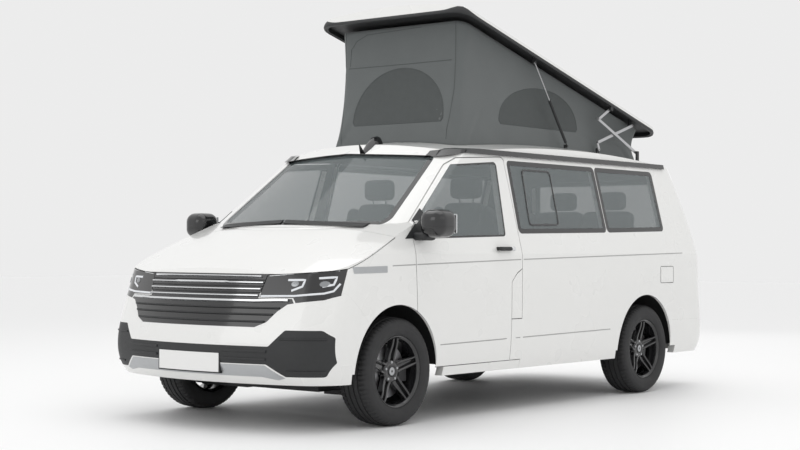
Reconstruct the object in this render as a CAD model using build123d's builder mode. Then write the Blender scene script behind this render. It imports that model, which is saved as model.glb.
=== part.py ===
from build123d import *
from math import atan2, cos, degrees, radians, sin
import os

# Camper van with a pop-up roof, in millimetres: +X forward, +Y to the van's left, +Z up.
# The origin is on the ground, halfway along the body.

# Overall sizes
length = 4904
width = 1904
roof_height = 1900
wheelbase = 3000
front_overhang = 908
track = 1628
half_length = length / 2
half_width = width / 2
front_axle = half_length - front_overhang
rear_axle_place = front_axle - wheelbase
half_track = track / 2
overrun = 400
sky = 3200
seat_gap = 0.3
shut_gap = 5

# Walls
wall = 55
roof_wall = 40
glass_thickness = 5
liner = 6
inner_slack = 0.4

# Plan sections of the body: height as a share of the roof height, half width as a share of half the width,
# nose and tail as shares of half the length. The last one of the lower body is the first of the upper.
lower_section_shares = [
    (0.150, 0.965, 0.972, 0.979),
    (0.237, 0.990, 1.000, 1.000),
    (0.326, 0.998, 0.989, 0.989),
    (0.447, 1.000, 0.957, 0.979),
    (0.560, 0.998, 0.925, 0.972),
]
upper_section_shares = [
    (0.560, 0.998, 0.925, 0.972),
    (0.770, 0.893, 0.850, 0.940),
    (1.000, 0.776, 0.780, 0.865),
]
nose_bow_share = 0.216
tail_bow_share = 0.050
nose_corner = 290
tail_corner = 165

# Bonnet surface on the centre line, and its crown
bonnet_rear = 1500
bonnet_rear_height = 1272
bonnet_middle = 1950
bonnet_middle_height = 1100
bonnet_lip = 2245
bonnet_lip_height = 972
bonnet_chin = 2420
bonnet_chin_height = 790
bonnet_crown = 5600

# Roof surface on the centre line, and its crown
roof_front = 943
roof_front_height = 1796
roof_middle = -500
roof_middle_height = 1897
roof_rear = -2250
roof_rear_height = 1812
roof_crown = 3700

# Windscreen surface: places on a low and a high level
screen_low = 750
screen_high = 1950
screen_low_centre = 2300
screen_high_centre = 668
screen_low_corner = 2082
screen_high_corner = 518
screen_low_corner_side = 855
screen_high_corner_side = 612
pillar_low_end = 1918
pillar_high_end = 406
pillar_low_side = 1038
pillar_high_side = 731
pillar_bulge_share = 0.62

# Shut lines seen from the side
door_front = 1410
door_front_low = 1372
door_waist = 1050
door_rear = 245
door_bottom = 345
door_head = 1728
door_head_front = 770
door_head_front_height = 1698
door_pillar_turn = 868
door_pillar_turn_height = 1650
door_pillar_foot_height = 1221
door_corner = 35
body_bottom = 285
roof_split_front_height = 1690
cowl_wing_line = 1590
cowl_wing_height = 1162
cowl_front = 1650
cowl_crown = 1625
lamp_tip = 2022
lamp_tip_height = 976
lamp_foot = 2082
lamp_foot_height = 820
nose_start = 2100
nose_half_width = 800
grille_head_height = 940
bumper_top = 2052
bumper_top_height = 828
bumper_arch_line = 1862
bumper_arch_height = 655

# Filler flap behind the left door
flap_front = 368
flap_top = 933
flap_middle = 624
flap_chamfer = 60
flap_bed_depth = 18
door_flange = 20

# Sliding door in the right side
slide_front = 222
slide_rear = -955
slide_bottom = 345
slide_head = 1726

# Side windows
door_glass_front = 1365
door_glass_front_height = 1156
door_glass_turn_height = 1236
door_glass_rear = 400
door_glass_rear_height = 1180
door_glass_head_front = 835
door_glass_head_front_height = 1652
door_glass_head_rear = 340
door_glass_head = 1690
door_glass_corner = 30
quarter_front = 215
quarter_split = -910
quarter_rear = -1765
quarter_sill = 1200
quarter_sill_rear = 1238
quarter_head = 1705
quarter_slant = 22
quarter_corner = 38
pane_gap = 7

# Windscreen, seen from the front
screen_sill = 1246
screen_sill_side = 748
screen_head = 1740
screen_head_corner = 1712
screen_head_side = 655
screen_corner = 45

# Tailgate and its window, seen from behind
tailgate_bottom = 548
tailgate_head = 1800
tailgate_low_side = 770
tailgate_waist_side = 785
tailgate_waist = 1080
tailgate_head_side = 640
tailgate_start = -2172
tailgate_corner = 60
tail_window_bottom = 1215
tail_window_head = 1665
tail_window_low_side = 690
tail_window_head_side = 600
tail_window_corner = 60

# Bumpers
rear_bumper_top = 546
rear_bumper_front = -1800
rear_bumper_low = 315

# Wheel arches
arch_radius = 395
arch_forward = 30
arch_height = 355
well_radius = 440
well_inner = 450
well_lip = 930

# Wheels
tyre_radius = 336
tyre_width = 235
tyre_shoulder = 32
tread_crown = 6
rim_radius = 222
rim_bead = 208
rim_barrel_thickness = 9
rim_width = 184
rim_dish = 42
spoke_count = 5
spoke_width = 62
spoke_tip_width = 46
spoke_thickness = 30
wheel_hub_radius = 74
wheel_hub_length = 46
cap_radius = 32
disc_radius = 165
disc_thickness = 24
disc_inset = 62
bore_radius = 32
stub_clearance = 0.06
stub_length = 120

# Steering: the kingpin axis leans inward towards the top
kingpin_foot = 804
kingpin_lean = 12
ball_height = 198
ball_radius = 22
strut_radius = 27
strut_top = 745
strut_foot_height = 380
strut_bracket_height = 90
strut_clearance = 9
spring_radius = 46
spring_foot = 500
spring_top = 735
caliper_length = 140
caliper_depth = 62
caliper_reach = 24
caliper_wall = 6
caliper_arm = 60
hub_carrier_radius = 62
hub_carrier_length = 80

# Floor and inner shell
floor_bottom = 470
floor_top = 530
floor_front = 1290
floor_rear = -2290
load_front = 0
load_rear = -1000
load_half_width = 700
load_board = 6
bulkhead_front = 1330
bulkhead_back = 1300
bulkhead_top = 1180

# Front seats
seat_place = 400
seat_half_width = 265
seat_base_height = 800
seat_cushion_top = 960
seat_back_top = 1420
seat_head_top = 1600
seat_front = 730
seat_back = 230
seat_back_lean = 130
seat_back_depth = 115
headrest_half_width = 130
headrest_height = 150
headrest_depth = 90
pedestal_inset = 50

# Rear bench
bench_half_width = 690
bench_front = -1130
bench_back = -1640
bench_base_height = 812
bench_cushion_top = 940
bench_back_top = 1400
bench_back_lean = 110
bench_back_depth = 120
bench_head_top = 1552
bench_head_place = 450
bench_head_half_width = 120

# Dashboard and steering wheel
dash_half_width = 850
dash_front = 1296
dash_rear = 1000
dash_bottom = 860
dash_top = 1165
dash_brow = 1200
column_x = 905
column_z = 1095
column_lean = 28
wheel_rim_radius = 190
wheel_rim_tube = 15
wheel_boss_radius = 60
wheel_boss_length = 46
column_radius = 22
column_length = 150
wheel_spoke_width = 34
wheel_spoke_thickness = 18

# Engine, subframe and rear axle
engine_front = 2060
engine_rear = 1640
engine_half_width = 380
engine_bottom = 290
engine_top = 900
subframe_front = 1700
subframe_rear = 1400
subframe_half_width = 400
subframe_bottom = 190
subframe_height = 75
arm_width = 70
arm_thickness = 30
mount_post = 60
rear_beam_height = 300
rear_beam_size = 90
rear_carrier_radius = 58
trailing_arm_length = 420
trailing_arm_size = 60
rear_spring_radius = 55
rear_spring_place = 560

# Roof rails
rail_thickness = 16
rail_front = 950
rail_front_height = 1708
rail_knee = 700
rail_knee_height = 1752
rail_rear = -1965
rail_depth = 36
rail_inner_side = 600

# Pop-up roof: the opening, the lid and the tent
roof_opening_front = 480
roof_opening_rear = -1900
roof_opening_half_width = 490
roof_opening_corner = 70
lid_angle = 14.75
lid_front = 545
lid_front_height = 2713
lid_length = 2754
lid_half_width = 665
lid_height = 92
lid_skirt = 22
lid_hollow = 30
lid_crown = 4400
lid_corner = 140
tent_front = 510
tent_rear = -1985
tent_half_width = 570
tent_wall = 12
tent_corner = 90
tent_start_height = 1750

# Pop-up roof: crossed arms outside the tent, each held at its free end by a short link
link_side = 605
link_thickness = 7
link_depth = 22
link_space = 5
arm_pivot_x = -1800.8
arm_pivot_height = 1866.3
arm_head_x = -1230.8
arm_head_height = 2098.1
crossing_x = -1489.1
cross_pivot_x = -1765.3
cross_pivot_drop = 25.5
cross_foot_x = -1262.6
lower_link_x = -1289
upper_link_x = -1385.6
upper_link_drop = 24.5
pin_radius = 5
pin_clearance = 0.05
lower_eye_radius = 14
lower_eye_play = 5
upper_eye_play = 2
post_width = 34
post_thickness = 12

# Gas struts of the pop-up roof
strut_side = 622
strut_foot_x = -816
strut_head_x = -386
strut_head_drop = 20.7
barrel_radius = 11
barrel_length = 400
rod_radius = 4
rod_overlap = 50
strut_eye_radius = 9
strut_eye_width = 10
strut_neck = 32
strut_neck_radius = 4

# Mirrors and handles
mirror_outer = 1149
mirror_inner = 985
mirror_bottom = 1176
mirror_top = 1330
mirror_front = 1410
mirror_rear = 1290
mirror_corner = 32
mirror_foot_front = 1400
mirror_foot_rear = 1330
mirror_foot_bottom = 1180
mirror_foot_top = 1225
handle_front = 545
handle_rear = 360
handle_height = 1096
handle_depth = 34
handle_stand = 30

# Grille and lamps, seen from the front
grille_head_side = 500
grille_wing_side = 672
grille_wing = 762
grille_waist_side = 618
grille_waist = 720
grille_low_side = 562
grille_low = 656
grille_foot_side = 490
grille_foot = 626
grille_recess = 26
grille_plate = 10
strip_height = 9
strip_depth = 14
strip_count = 4
bar_height = 18
lamp_inner_bottom_side = 475
lamp_inner_bottom = 800
lamp_turn_side = 697
lamp_wedge_side = 719
lamp_wedge = 771
lamp_low_side = 867
lamp_low = 789
lamp_depth = 48

# Black insert in the front bumper, seen from the front
insert_head = 515
insert_foot = 337
insert_half_width = 600
insert_corner = 22
skid_half_width = 585
skid_top = 409
fog_inner_side = 692
fog_outer_side = 930
fog_head = 612
fog_depth = 40
fog_corner = 42

# Tail lamps
tail_lamp_bottom = 785
tail_lamp_top = 1062
tail_lamp_front = -2290
tail_lamp_inner = 790

# Wipers
wiper_length = 620
wiper_thickness = 12
wiper_lift = 12
wiper_sill = 1232

# Sizes that follow
bead_half = rim_width / 2
tyre_half = tyre_width / 2
flange_half = bead_half + rim_barrel_thickness / 2
side_bulge = (tyre_radius + rim_radius) / 2

os.makedirs("parts", exist_ok=True)


def save(builder, name):
    """Label a finished piece and write it."""
    builder.part.label = name
    export_step(builder.part, "parts/" + name + ".step")


def side_prism(points, near, far, corner=0, grow=0):
    """A prism across the van between two places on Y, from an outline seen from the side."""
    with BuildPart() as prism:
        with BuildSketch(Plane.XZ.offset(-far)) as outline:
            with BuildLine():
                Polyline(*points, close=True)
            make_face()
            if corner:
                fillet(outline.vertices(), corner)
            if grow:
                offset(amount=grow, kind=Kind.INTERSECTION)
        extrude(amount=far - near)
    return prism.part


def front_prism(points, near, far, corner=0, grow=0):
    """A prism along the van between two places on X, from an outline seen from the front."""
    with BuildPart() as prism:
        with BuildSketch(Plane.YZ.offset(near)) as outline:
            with BuildLine():
                Polyline(*points, close=True)
            make_face()
            if corner:
                fillet(outline.vertices(), corner)
            if grow:
                offset(amount=grow, kind=Kind.INTERSECTION)
        extrude(amount=far - near)
    return prism.part


def cross_cylinder(x, z, radius, near, far):
    """A cylinder across the van between two places on Y."""
    with BuildPart() as cylinder:
        with BuildSketch(Plane.XZ.offset(-far)):
            with Locations((x, z)):
                Circle(radius)
        extrude(amount=far - near)
    return cylinder.part


def block(x_from, x_to, y_from, y_to, z_from, z_to):
    """A plain block between six planes."""
    with BuildPart() as solid:
        with BuildSketch(Plane.XY.offset(z_from)):
            with Locations(((x_from + x_to) / 2, (y_from + y_to) / 2)):
                Rectangle(x_to - x_from, y_to - y_from)
        extrude(amount=z_to - z_from)
    return solid.part


def plan_section(shares, inset):
    """One level outline of the body: bowed nose and tail, straight sides, round corners."""
    level, side, nose, tail = shares
    reach = side * half_width - inset
    nose_x = nose * half_length - inset
    tail_x = -tail * half_length + inset
    nose_bow = nose_bow_share * half_width
    tail_bow = tail_bow_share * half_width
    with BuildSketch(Plane.XY.offset(level * roof_height)) as plan:
        with BuildLine():
            ThreePointArc((nose_x - nose_bow, -reach), (nose_x, 0), (nose_x - nose_bow, reach))
            Line((nose_x - nose_bow, reach), (tail_x + tail_bow, reach))
            ThreePointArc((tail_x + tail_bow, reach), (tail_x, 0), (tail_x + tail_bow, -reach))
            Line((tail_x + tail_bow, -reach), (nose_x - nose_bow, -reach))
        make_face()
        fillet(plan.vertices().group_by(Axis.X)[-1], nose_corner - inset)
        fillet(plan.vertices().group_by(Axis.X)[0], tail_corner - inset)
    return plan.sketch


def screen_plan(level, centre, corner_x, corner_y, end_x, end_y, inset):
    """The region in front of the windscreen surface at one level."""
    mid_x = end_x + (corner_x - end_x) * pillar_bulge_share - inset
    mid_y = corner_y + (end_y - corner_y) * pillar_bulge_share - inset
    with BuildSketch(Plane.XY.offset(level)) as plan:
        with BuildLine():
            ThreePointArc((corner_x - inset, -corner_y), (centre - inset, 0), (corner_x - inset, corner_y))
            ThreePointArc((corner_x - inset, corner_y), (mid_x, mid_y), (end_x - inset, end_y))
            ThreePointArc((corner_x - inset, -corner_y), (mid_x, -mid_y), (end_x - inset, -end_y))
            Polyline(
                (end_x - inset, end_y),
                (end_x - inset, end_y + overrun),
                (half_length + overrun, end_y + overrun),
                (half_length + overrun, -end_y - overrun),
                (end_x - inset, -end_y - overrun),
                (end_x - inset, -end_y),
            )
        make_face()
    return plan.sketch


def ahead_of_screen(inset):
    """Everything in front of the windscreen and its pillars."""
    low = screen_plan(
        screen_low, screen_low_centre, screen_low_corner, screen_low_corner_side,
        pillar_low_end, pillar_low_side, inset,
    )
    high = screen_plan(
        screen_high, screen_high_centre, screen_high_corner, screen_high_corner_side,
        pillar_high_end, pillar_high_side, inset,
    )
    with BuildPart() as region:
        loft(sections=[low, high], ruled=True)
    return region.part


def above_bonnet(inset):
    """Everything above the bonnet surface, which is crowned across the van."""
    hub = Axis((0, 0, bonnet_rear_height - bonnet_crown), (1, 0, 0))
    with BuildPart() as region:
        with BuildSketch(Plane.XZ):
            with BuildLine():
                ThreePointArc(
                    (bonnet_rear - overrun, bonnet_rear_height + overrun * 0.36 - inset),
                    (bonnet_middle, bonnet_middle_height - inset),
                    (bonnet_lip, bonnet_lip_height - inset),
                )
                Polyline(
                    (bonnet_lip, bonnet_lip_height - inset),
                    (bonnet_chin, bonnet_chin_height - inset),
                    (half_length + overrun, bonnet_chin_height - inset),
                    (half_length + overrun, sky),
                    (0, sky),
                    (0, bonnet_rear_height + overrun * 0.36 - inset),
                    (bonnet_rear - overrun, bonnet_rear_height + overrun * 0.36 - inset),
                )
            make_face()
        revolve(axis=hub, revolution_arc=14)
        mirror(about=Plane.XZ)
    return region.part


def above_roof(inset):
    """Everything above the roof surface, which is crowned across the van."""
    hub = Axis((0, 0, roof_middle_height - roof_crown), (1, 0, 0))
    with BuildPart() as region:
        with BuildSketch(Plane.XZ):
            with BuildLine():
                ThreePointArc(
                    (roof_front, roof_front_height - inset),
                    (roof_middle, roof_middle_height - inset),
                    (roof_rear, roof_rear_height - inset),
                )
                Polyline(
                    (roof_rear, roof_rear_height - inset),
                    (roof_rear - overrun, roof_rear_height - inset),
                    (roof_rear - overrun, sky),
                    (roof_front + overrun, sky),
                    (roof_front + overrun, roof_front_height - overrun / 2 - inset),
                    (roof_front, roof_front_height - inset),
                )
            make_face()
        revolve(axis=hub, revolution_arc=20)
        mirror(about=Plane.XZ)
    return region.part


def body_solid(inset, roof_inset):
    """The whole body's outer form, drawn in by an inset."""
    lower_sections = [plan_section(shares, inset) for shares in lower_section_shares]
    upper_sections = [plan_section(shares, inset) for shares in upper_section_shares]
    screen_region = ahead_of_screen(inset)
    bonnet_region = above_bonnet(inset)
    roof_region = above_roof(roof_inset)
    with BuildPart() as front_cut:
        add(screen_region)
        add(bonnet_region, mode=Mode.INTERSECT)
    with BuildPart() as solid:
        loft(sections=lower_sections)
        loft(sections=upper_sections)
        add(front_cut.part, mode=Mode.SUBTRACT)
        add(roof_region, mode=Mode.SUBTRACT)
    return solid.part


outer = body_solid(0, 0)
inner = body_solid(wall, roof_wall)
pane_back = body_solid(glass_thickness, glass_thickness)

# Outlines seen from the side
door_outline = [
    (door_rear, door_bottom),
    (door_rear, door_head),
    (door_head_front, door_head_front_height),
    (door_pillar_turn, door_pillar_turn_height),
    (door_front, door_pillar_foot_height),
    (door_front, door_waist),
    (door_front_low, door_bottom),
]
flap_outline = [
    (door_rear, door_bottom),
    (door_rear, flap_top + flap_chamfer / 2),
    (door_rear + flap_chamfer, flap_top),
    (flap_front, flap_top - flap_chamfer),
    (flap_front, door_bottom),
]
slide_outline = [
    (slide_front, slide_bottom),
    (slide_front, slide_head),
    (slide_rear, slide_head),
    (slide_rear, slide_bottom),
]
door_glass_outline = [
    (door_glass_front, door_glass_front_height),
    (door_glass_rear, door_glass_rear_height),
    (door_glass_head_rear, door_glass_head),
    (door_glass_head_front, door_glass_head_front_height),
    (door_glass_front, door_glass_turn_height),
]
front_pane_outline = [
    (quarter_front + quarter_slant, quarter_sill),
    (quarter_front, quarter_head),
    (quarter_split, quarter_head),
    (quarter_split, (quarter_sill + quarter_sill_rear) / 2),
]
rear_pane_outline = [
    (quarter_split - pane_gap, (quarter_sill + quarter_sill_rear) / 2),
    (quarter_split - pane_gap, quarter_head),
    (quarter_rear, quarter_head),
    (quarter_rear, quarter_sill_rear),
]
bonnet_outline = [
    (half_length + overrun, grille_head_height),
    (bonnet_lip, grille_head_height),
    (lamp_tip, lamp_tip_height),
    (cowl_wing_line, cowl_wing_height),
    (cowl_wing_line, roof_height),
    (half_length + overrun, roof_height),
]

# Outlines seen from the front, with their left half first
screen_outline = [
    (screen_sill_side, screen_sill),
    (screen_head_side, screen_head_corner),
    (0, screen_head),
    (-screen_head_side, screen_head_corner),
    (-screen_sill_side, screen_sill),
]
tailgate_outline = [
    (tailgate_low_side, tailgate_bottom),
    (tailgate_waist_side, tailgate_waist),
    (tailgate_head_side, tailgate_head),
    (-tailgate_head_side, tailgate_head),
    (-tailgate_waist_side, tailgate_waist),
    (-tailgate_low_side, tailgate_bottom),
]
tail_window_outline = [
    (tail_window_low_side, tail_window_bottom),
    (tail_window_head_side, tail_window_head),
    (-tail_window_head_side, tail_window_head),
    (-tail_window_low_side, tail_window_bottom),
]
lamp_outline = [
    (grille_head_side, grille_head_height),
    (half_width, lamp_tip_height + shut_gap),
    (half_width, bumper_top_height),
    (lamp_low_side, lamp_low),
    (lamp_wedge_side, lamp_wedge),
    (lamp_turn_side, lamp_inner_bottom),
    (lamp_inner_bottom_side, lamp_inner_bottom),
]
grille_half = [
    (grille_head_side - shut_gap, grille_head_height),
    (lamp_inner_bottom_side - shut_gap, lamp_inner_bottom - shut_gap),
    (lamp_turn_side - shut_gap, lamp_inner_bottom - shut_gap),
    (lamp_wedge_side - shut_gap * 2, lamp_wedge - shut_gap / 2),
    (grille_wing_side, grille_wing),
    (grille_waist_side, grille_waist),
    (grille_low_side, grille_low),
    (grille_foot_side, grille_foot),
]
grille_outline = grille_half + [(-y, z) for y, z in reversed(grille_half)]

far_side = half_width + overrun
left_side = 0
front_far = half_length + overrun
roof_line = [
    (front_far, roof_split_front_height + shut_gap / 2),
    (door_head_front, door_head_front_height + shut_gap / 2),
    (door_rear, door_head + shut_gap / 2),
    (-front_far, door_head + shut_gap / 2),
    (-front_far, roof_height + overrun),
    (front_far, roof_height + overrun),
]

# Cutters that several panels share
door_gap = side_prism(door_outline, left_side, far_side, corner=door_corner, grow=shut_gap / 2)
flap_region = side_prism(flap_outline, left_side, far_side, grow=shut_gap / 2)
slide_gap = side_prism(slide_outline, -far_side, left_side, corner=door_corner, grow=shut_gap / 2)
front_pane_hole = side_prism(front_pane_outline, -far_side, far_side, corner=quarter_corner)
rear_pane_hole = side_prism(rear_pane_outline, -far_side, far_side, corner=quarter_corner)
bonnet_region = side_prism(bonnet_outline, -far_side, far_side)
bonnet_gap = side_prism(bonnet_outline, -far_side, far_side, grow=shut_gap)
screen_hole = front_prism(screen_outline, screen_high_centre, front_far, corner=screen_corner)
tailgate_region = front_prism(
    tailgate_outline, -front_far, tailgate_start, corner=tailgate_corner, grow=-shut_gap / 2
)
tailgate_gap = front_prism(
    tailgate_outline, -front_far, tailgate_start + shut_gap, corner=tailgate_corner, grow=shut_gap / 2
)
tail_window_hole = front_prism(tail_window_outline, -front_far, tailgate_start, corner=tail_window_corner)
roof_region = side_prism(roof_line, -far_side, far_side)
roof_gap = side_prism(roof_line, -far_side, far_side, grow=seat_gap)
grille_hole = front_prism(grille_outline, bumper_arch_line, front_far)
lamp_side_outline = [
    (front_far, lamp_wedge - shut_gap),
    (lamp_foot, lamp_wedge - shut_gap),
    (lamp_foot, lamp_foot_height),
    (lamp_tip, lamp_tip_height + shut_gap),
    (lamp_tip, roof_height),
    (front_far, roof_height),
]
lamp_side_limit = side_prism(lamp_side_outline, -far_side, far_side)
lamp_side_seat = side_prism(lamp_side_outline, -far_side, far_side, grow=-seat_gap)
lamp_holes = []
lamp_fills = []
for side in (1, -1):
    lamp_side = [(side * y, z) for y, z in lamp_outline]
    with BuildPart() as lamp_hole:
        add(front_prism(lamp_side, bumper_arch_line, front_far))
        add(lamp_side_limit, mode=Mode.INTERSECT)
    lamp_holes.append(lamp_hole.part)
    with BuildPart() as lamp_fill:
        add(front_prism(lamp_side, bumper_arch_line, front_far, grow=-seat_gap))
        add(lamp_side_seat, mode=Mode.INTERSECT)
    lamp_fills.append(lamp_fill.part)
nose_middle = block(nose_start, front_far, -nose_half_width, nose_half_width, 0, roof_height)

# Wheel arches and the wells behind them
arch_cuts = []
well_cuts = []
for axle in (front_axle, rear_axle_place):
    arch_cuts.append(
        cross_cylinder(axle + arch_forward, arch_height, arch_radius, -far_side, far_side)
    )
    for side in (1, -1):
        near = min(side * (well_inner - inner_slack - liner), side * (well_lip + inner_slack))
        far = max(side * (well_inner - inner_slack - liner), side * (well_lip + inner_slack))
        well_cuts.append(
            cross_cylinder(axle, arch_height, well_radius + liner + inner_slack, near, far)
        )

door_gap_right = mirror(door_gap, about=Plane.XZ)
door_glass_holes = side_prism(door_glass_outline, -far_side, far_side, corner=door_glass_corner)
pane_holes = [door_glass_holes, front_pane_hole, rear_pane_hole, screen_hole, tail_window_hole]

# The body's wall, open at the windows and the wheel arches
with BuildPart() as shell:
    add(outer)
    add(inner, mode=Mode.SUBTRACT)
    for cut in [*arch_cuts, *well_cuts, *pane_holes]:
        add(cut, mode=Mode.SUBTRACT)

# A skin as thick as the glass
with BuildPart() as skin:
    add(outer)
    add(pane_back, mode=Mode.SUBTRACT)

# Left side panel, from the door's rear edge to the tail
rear_bumper_region = block(-front_far, rear_bumper_front, -far_side, far_side, 0, rear_bumper_top)
rear_bumper_gap = block(
    -front_far, rear_bumper_front + seat_gap, -far_side, far_side, 0, rear_bumper_top + seat_gap
)
left_region = block(-front_far, door_rear - shut_gap / 2, 0, far_side, 0, roof_height)
right_region = block(-front_far, door_rear - shut_gap / 2, -far_side, 0, 0, roof_height)
fixed_panel_outline = [
    (door_rear - door_flange, door_bottom + shut_gap / 2),
    (door_rear - door_flange, flap_middle - shut_gap / 2),
    (flap_front - shut_gap / 2, flap_middle - shut_gap / 2),
    (flap_front - shut_gap / 2, door_bottom + shut_gap / 2),
]
flap_bed_outline = [
    (door_rear - door_flange, flap_middle - shut_gap),
    (door_rear - door_flange, flap_top),
    (door_rear + flap_chamfer, flap_top - shut_gap / 2),
    (flap_front - shut_gap / 2, flap_top - flap_chamfer),
    (flap_front - shut_gap / 2, flap_middle - shut_gap),
]
with BuildPart() as left_parts:
    add(left_region)
    add(side_prism(fixed_panel_outline, 0, far_side))
    add(side_prism(flap_bed_outline, 0, half_width - flap_bed_depth))
tail_lamp_outline = [
    (-front_far, tail_lamp_bottom),
    (tail_lamp_front, tail_lamp_bottom),
    (tail_lamp_front, tail_lamp_top),
    (-front_far, tail_lamp_top),
]
tail_lamp_left = side_prism(tail_lamp_outline, tail_lamp_inner, far_side)
tail_lamp_gap_left = side_prism(tail_lamp_outline, tail_lamp_inner - seat_gap, far_side, grow=seat_gap)
with BuildPart() as tail_lamp_region:
    add(tail_lamp_left)
    add(mirror(tail_lamp_left, about=Plane.XZ))
with BuildPart() as tail_lamp_gap:
    add(tail_lamp_gap_left)
    add(mirror(tail_lamp_gap_left, about=Plane.XZ))

with BuildPart() as side_panel_left:
    add(shell.part)
    add(left_parts.part, mode=Mode.INTERSECT)
    for cut in [roof_gap, tailgate_gap, rear_bumper_gap, tail_lamp_gap.part]:
        add(cut, mode=Mode.SUBTRACT)
save(side_panel_left, "side_panel_left")

# Right side panel, with the sliding door shut in it
with BuildPart() as side_panel_right:
    add(shell.part)
    add(right_region, mode=Mode.INTERSECT)
    for cut in [roof_gap, tailgate_gap, rear_bumper_gap, tail_lamp_gap.part, slide_gap]:
        add(cut, mode=Mode.SUBTRACT)
save(side_panel_right, "side_panel_right")

slide_region = side_prism(slide_outline, -far_side, left_side, corner=door_corner, grow=-shut_gap / 2)
with BuildPart() as sliding_door:
    add(shell.part)
    add(slide_region, mode=Mode.INTERSECT)
save(sliding_door, "sliding_door")

# Roof panel with the bed opening
with BuildPart() as roof_opening:
    with BuildSketch(Plane.XY.offset(door_waist)):
        with Locations(((roof_opening_front + roof_opening_rear) / 2, 0)):
            RectangleRounded(
                roof_opening_front - roof_opening_rear, roof_opening_half_width * 2, roof_opening_corner
            )
    extrude(amount=roof_height)
with BuildPart() as roof_panel:
    add(shell.part)
    add(roof_region, mode=Mode.INTERSECT)
    add(roof_opening.part, mode=Mode.SUBTRACT)
    add(tailgate_gap, mode=Mode.SUBTRACT)
save(roof_panel, "roof_panel")

# Side windows, flush with the body
front_pane = side_prism(front_pane_outline, -far_side, far_side, corner=quarter_corner, grow=-seat_gap)
rear_pane = side_prism(rear_pane_outline, -far_side, far_side, corner=quarter_corner, grow=-seat_gap)
with BuildPart() as panes:
    add(front_pane)
    add(rear_pane)
with BuildPart() as side_windows:
    add(skin.part)
    add(panes.part, mode=Mode.INTERSECT)
save(side_windows, "side_windows")

screen_region = front_prism(screen_outline, screen_high_centre, front_far, corner=screen_corner, grow=-seat_gap)
with BuildPart() as windscreen:
    add(skin.part)
    add(screen_region, mode=Mode.INTERSECT)
save(windscreen, "windscreen")

# Tailgate and its window
with BuildPart() as tailgate:
    add(shell.part)
    add(tailgate_region, mode=Mode.INTERSECT)
    add(rear_bumper_gap, mode=Mode.SUBTRACT)
save(tailgate, "tailgate")

tail_window_region = front_prism(
    tail_window_outline, -front_far, tailgate_start, corner=tail_window_corner, grow=-seat_gap
)
with BuildPart() as tailgate_window:
    add(skin.part)
    add(tail_window_region, mode=Mode.INTERSECT)
save(tailgate_window, "tailgate_window")



def cowl_drum(radius):
    """An upright cylinder whose front follows the windscreen's lower edge."""
    with BuildPart() as drum:
        with BuildSketch(Plane.XY):
            with Locations((cowl_front - cowl_crown, 0)):
                Circle(radius)
        extrude(amount=sky)
    return drum.part


# Bonnet, up to the cowl below the windscreen
screen_sill_gap = front_prism(
    [(half_width, screen_sill), (-half_width, screen_sill), (-half_width, roof_height), (half_width, roof_height)],
    0,
    front_far,
)
with BuildPart() as bonnet:
    add(shell.part)
    add(bonnet_region, mode=Mode.INTERSECT)
    add(screen_sill_gap, mode=Mode.SUBTRACT)
    add(cowl_drum(cowl_crown), mode=Mode.SUBTRACT)
save(bonnet, "bonnet")
with BuildPart() as bonnet_slot:
    add(bonnet_gap)
    add(cowl_drum(cowl_crown - shut_gap), mode=Mode.SUBTRACT)

# Front doors, as thick as the wall, each with its window and its mirror and handle
door_region = side_prism(door_outline, left_side, far_side, corner=door_corner, grow=-shut_gap / 2)
with BuildPart() as flange_cut:
    add(pane_back)
    add(block(0, door_rear + door_flange, 0, far_side, 0, sky), mode=Mode.INTERSECT)
with BuildPart() as door_blank:
    add(shell.part)
    add(door_region, mode=Mode.INTERSECT)
    add(flange_cut.part, mode=Mode.SUBTRACT)
with BuildPart() as door_left:
    add(door_blank.part)
    add(flap_region, mode=Mode.SUBTRACT)
save(door_left, "door_left")
with BuildPart() as door_right:
    add(mirror(door_blank.part, about=Plane.XZ))
save(door_right, "door_right")

door_pane = side_prism(door_glass_outline, left_side, far_side, corner=door_glass_corner, grow=-seat_gap)
with BuildPart() as door_window_left:
    add(skin.part)
    add(door_pane, mode=Mode.INTERSECT)
save(door_window_left, "door_window_left")
with BuildPart() as door_window_right:
    add(mirror(door_window_left.part, about=Plane.XZ))
save(door_window_right, "door_window_right")

# Filler flap and the fixed panel below it
flap_skin = side_prism(
    [
        (door_rear + shut_gap / 2, flap_middle + shut_gap / 2),
        (door_rear + shut_gap / 2, flap_top + flap_chamfer / 2 - shut_gap),
        (door_rear + flap_chamfer, flap_top - shut_gap),
        (flap_front - shut_gap / 2, flap_top - flap_chamfer),
        (flap_front - shut_gap / 2, flap_middle + shut_gap / 2),
    ],
    left_side,
    far_side,
)
with BuildPart() as filler_flap:
    add(skin.part)
    add(flap_skin, mode=Mode.INTERSECT)
save(filler_flap, "filler_flap")

# Front wings with the pillars and the cowl
wing_region = block(door_rear, front_far, -far_side, far_side, 0, roof_height)
bumper_line = [
    (front_far, bumper_top_height),
    (bumper_top, bumper_top_height),
    (bumper_arch_line, bumper_arch_height),
    (front_axle, bumper_arch_height - overrun),
    (front_axle, -overrun),
    (front_far, -overrun),
]
bumper_region = side_prism(bumper_line, -far_side, far_side)
bumper_gap = side_prism(bumper_line, -far_side, far_side, grow=seat_gap)
with BuildPart() as front_wings:
    add(shell.part)
    add(wing_region, mode=Mode.INTERSECT)
    for cut in [roof_gap, door_gap, door_gap_right, flap_region, bonnet_slot.part, bumper_gap]:
        add(cut, mode=Mode.SUBTRACT)
    for cut in [*lamp_holes, nose_middle]:
        add(cut, mode=Mode.SUBTRACT)
save(front_wings, "front_wings")

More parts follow.
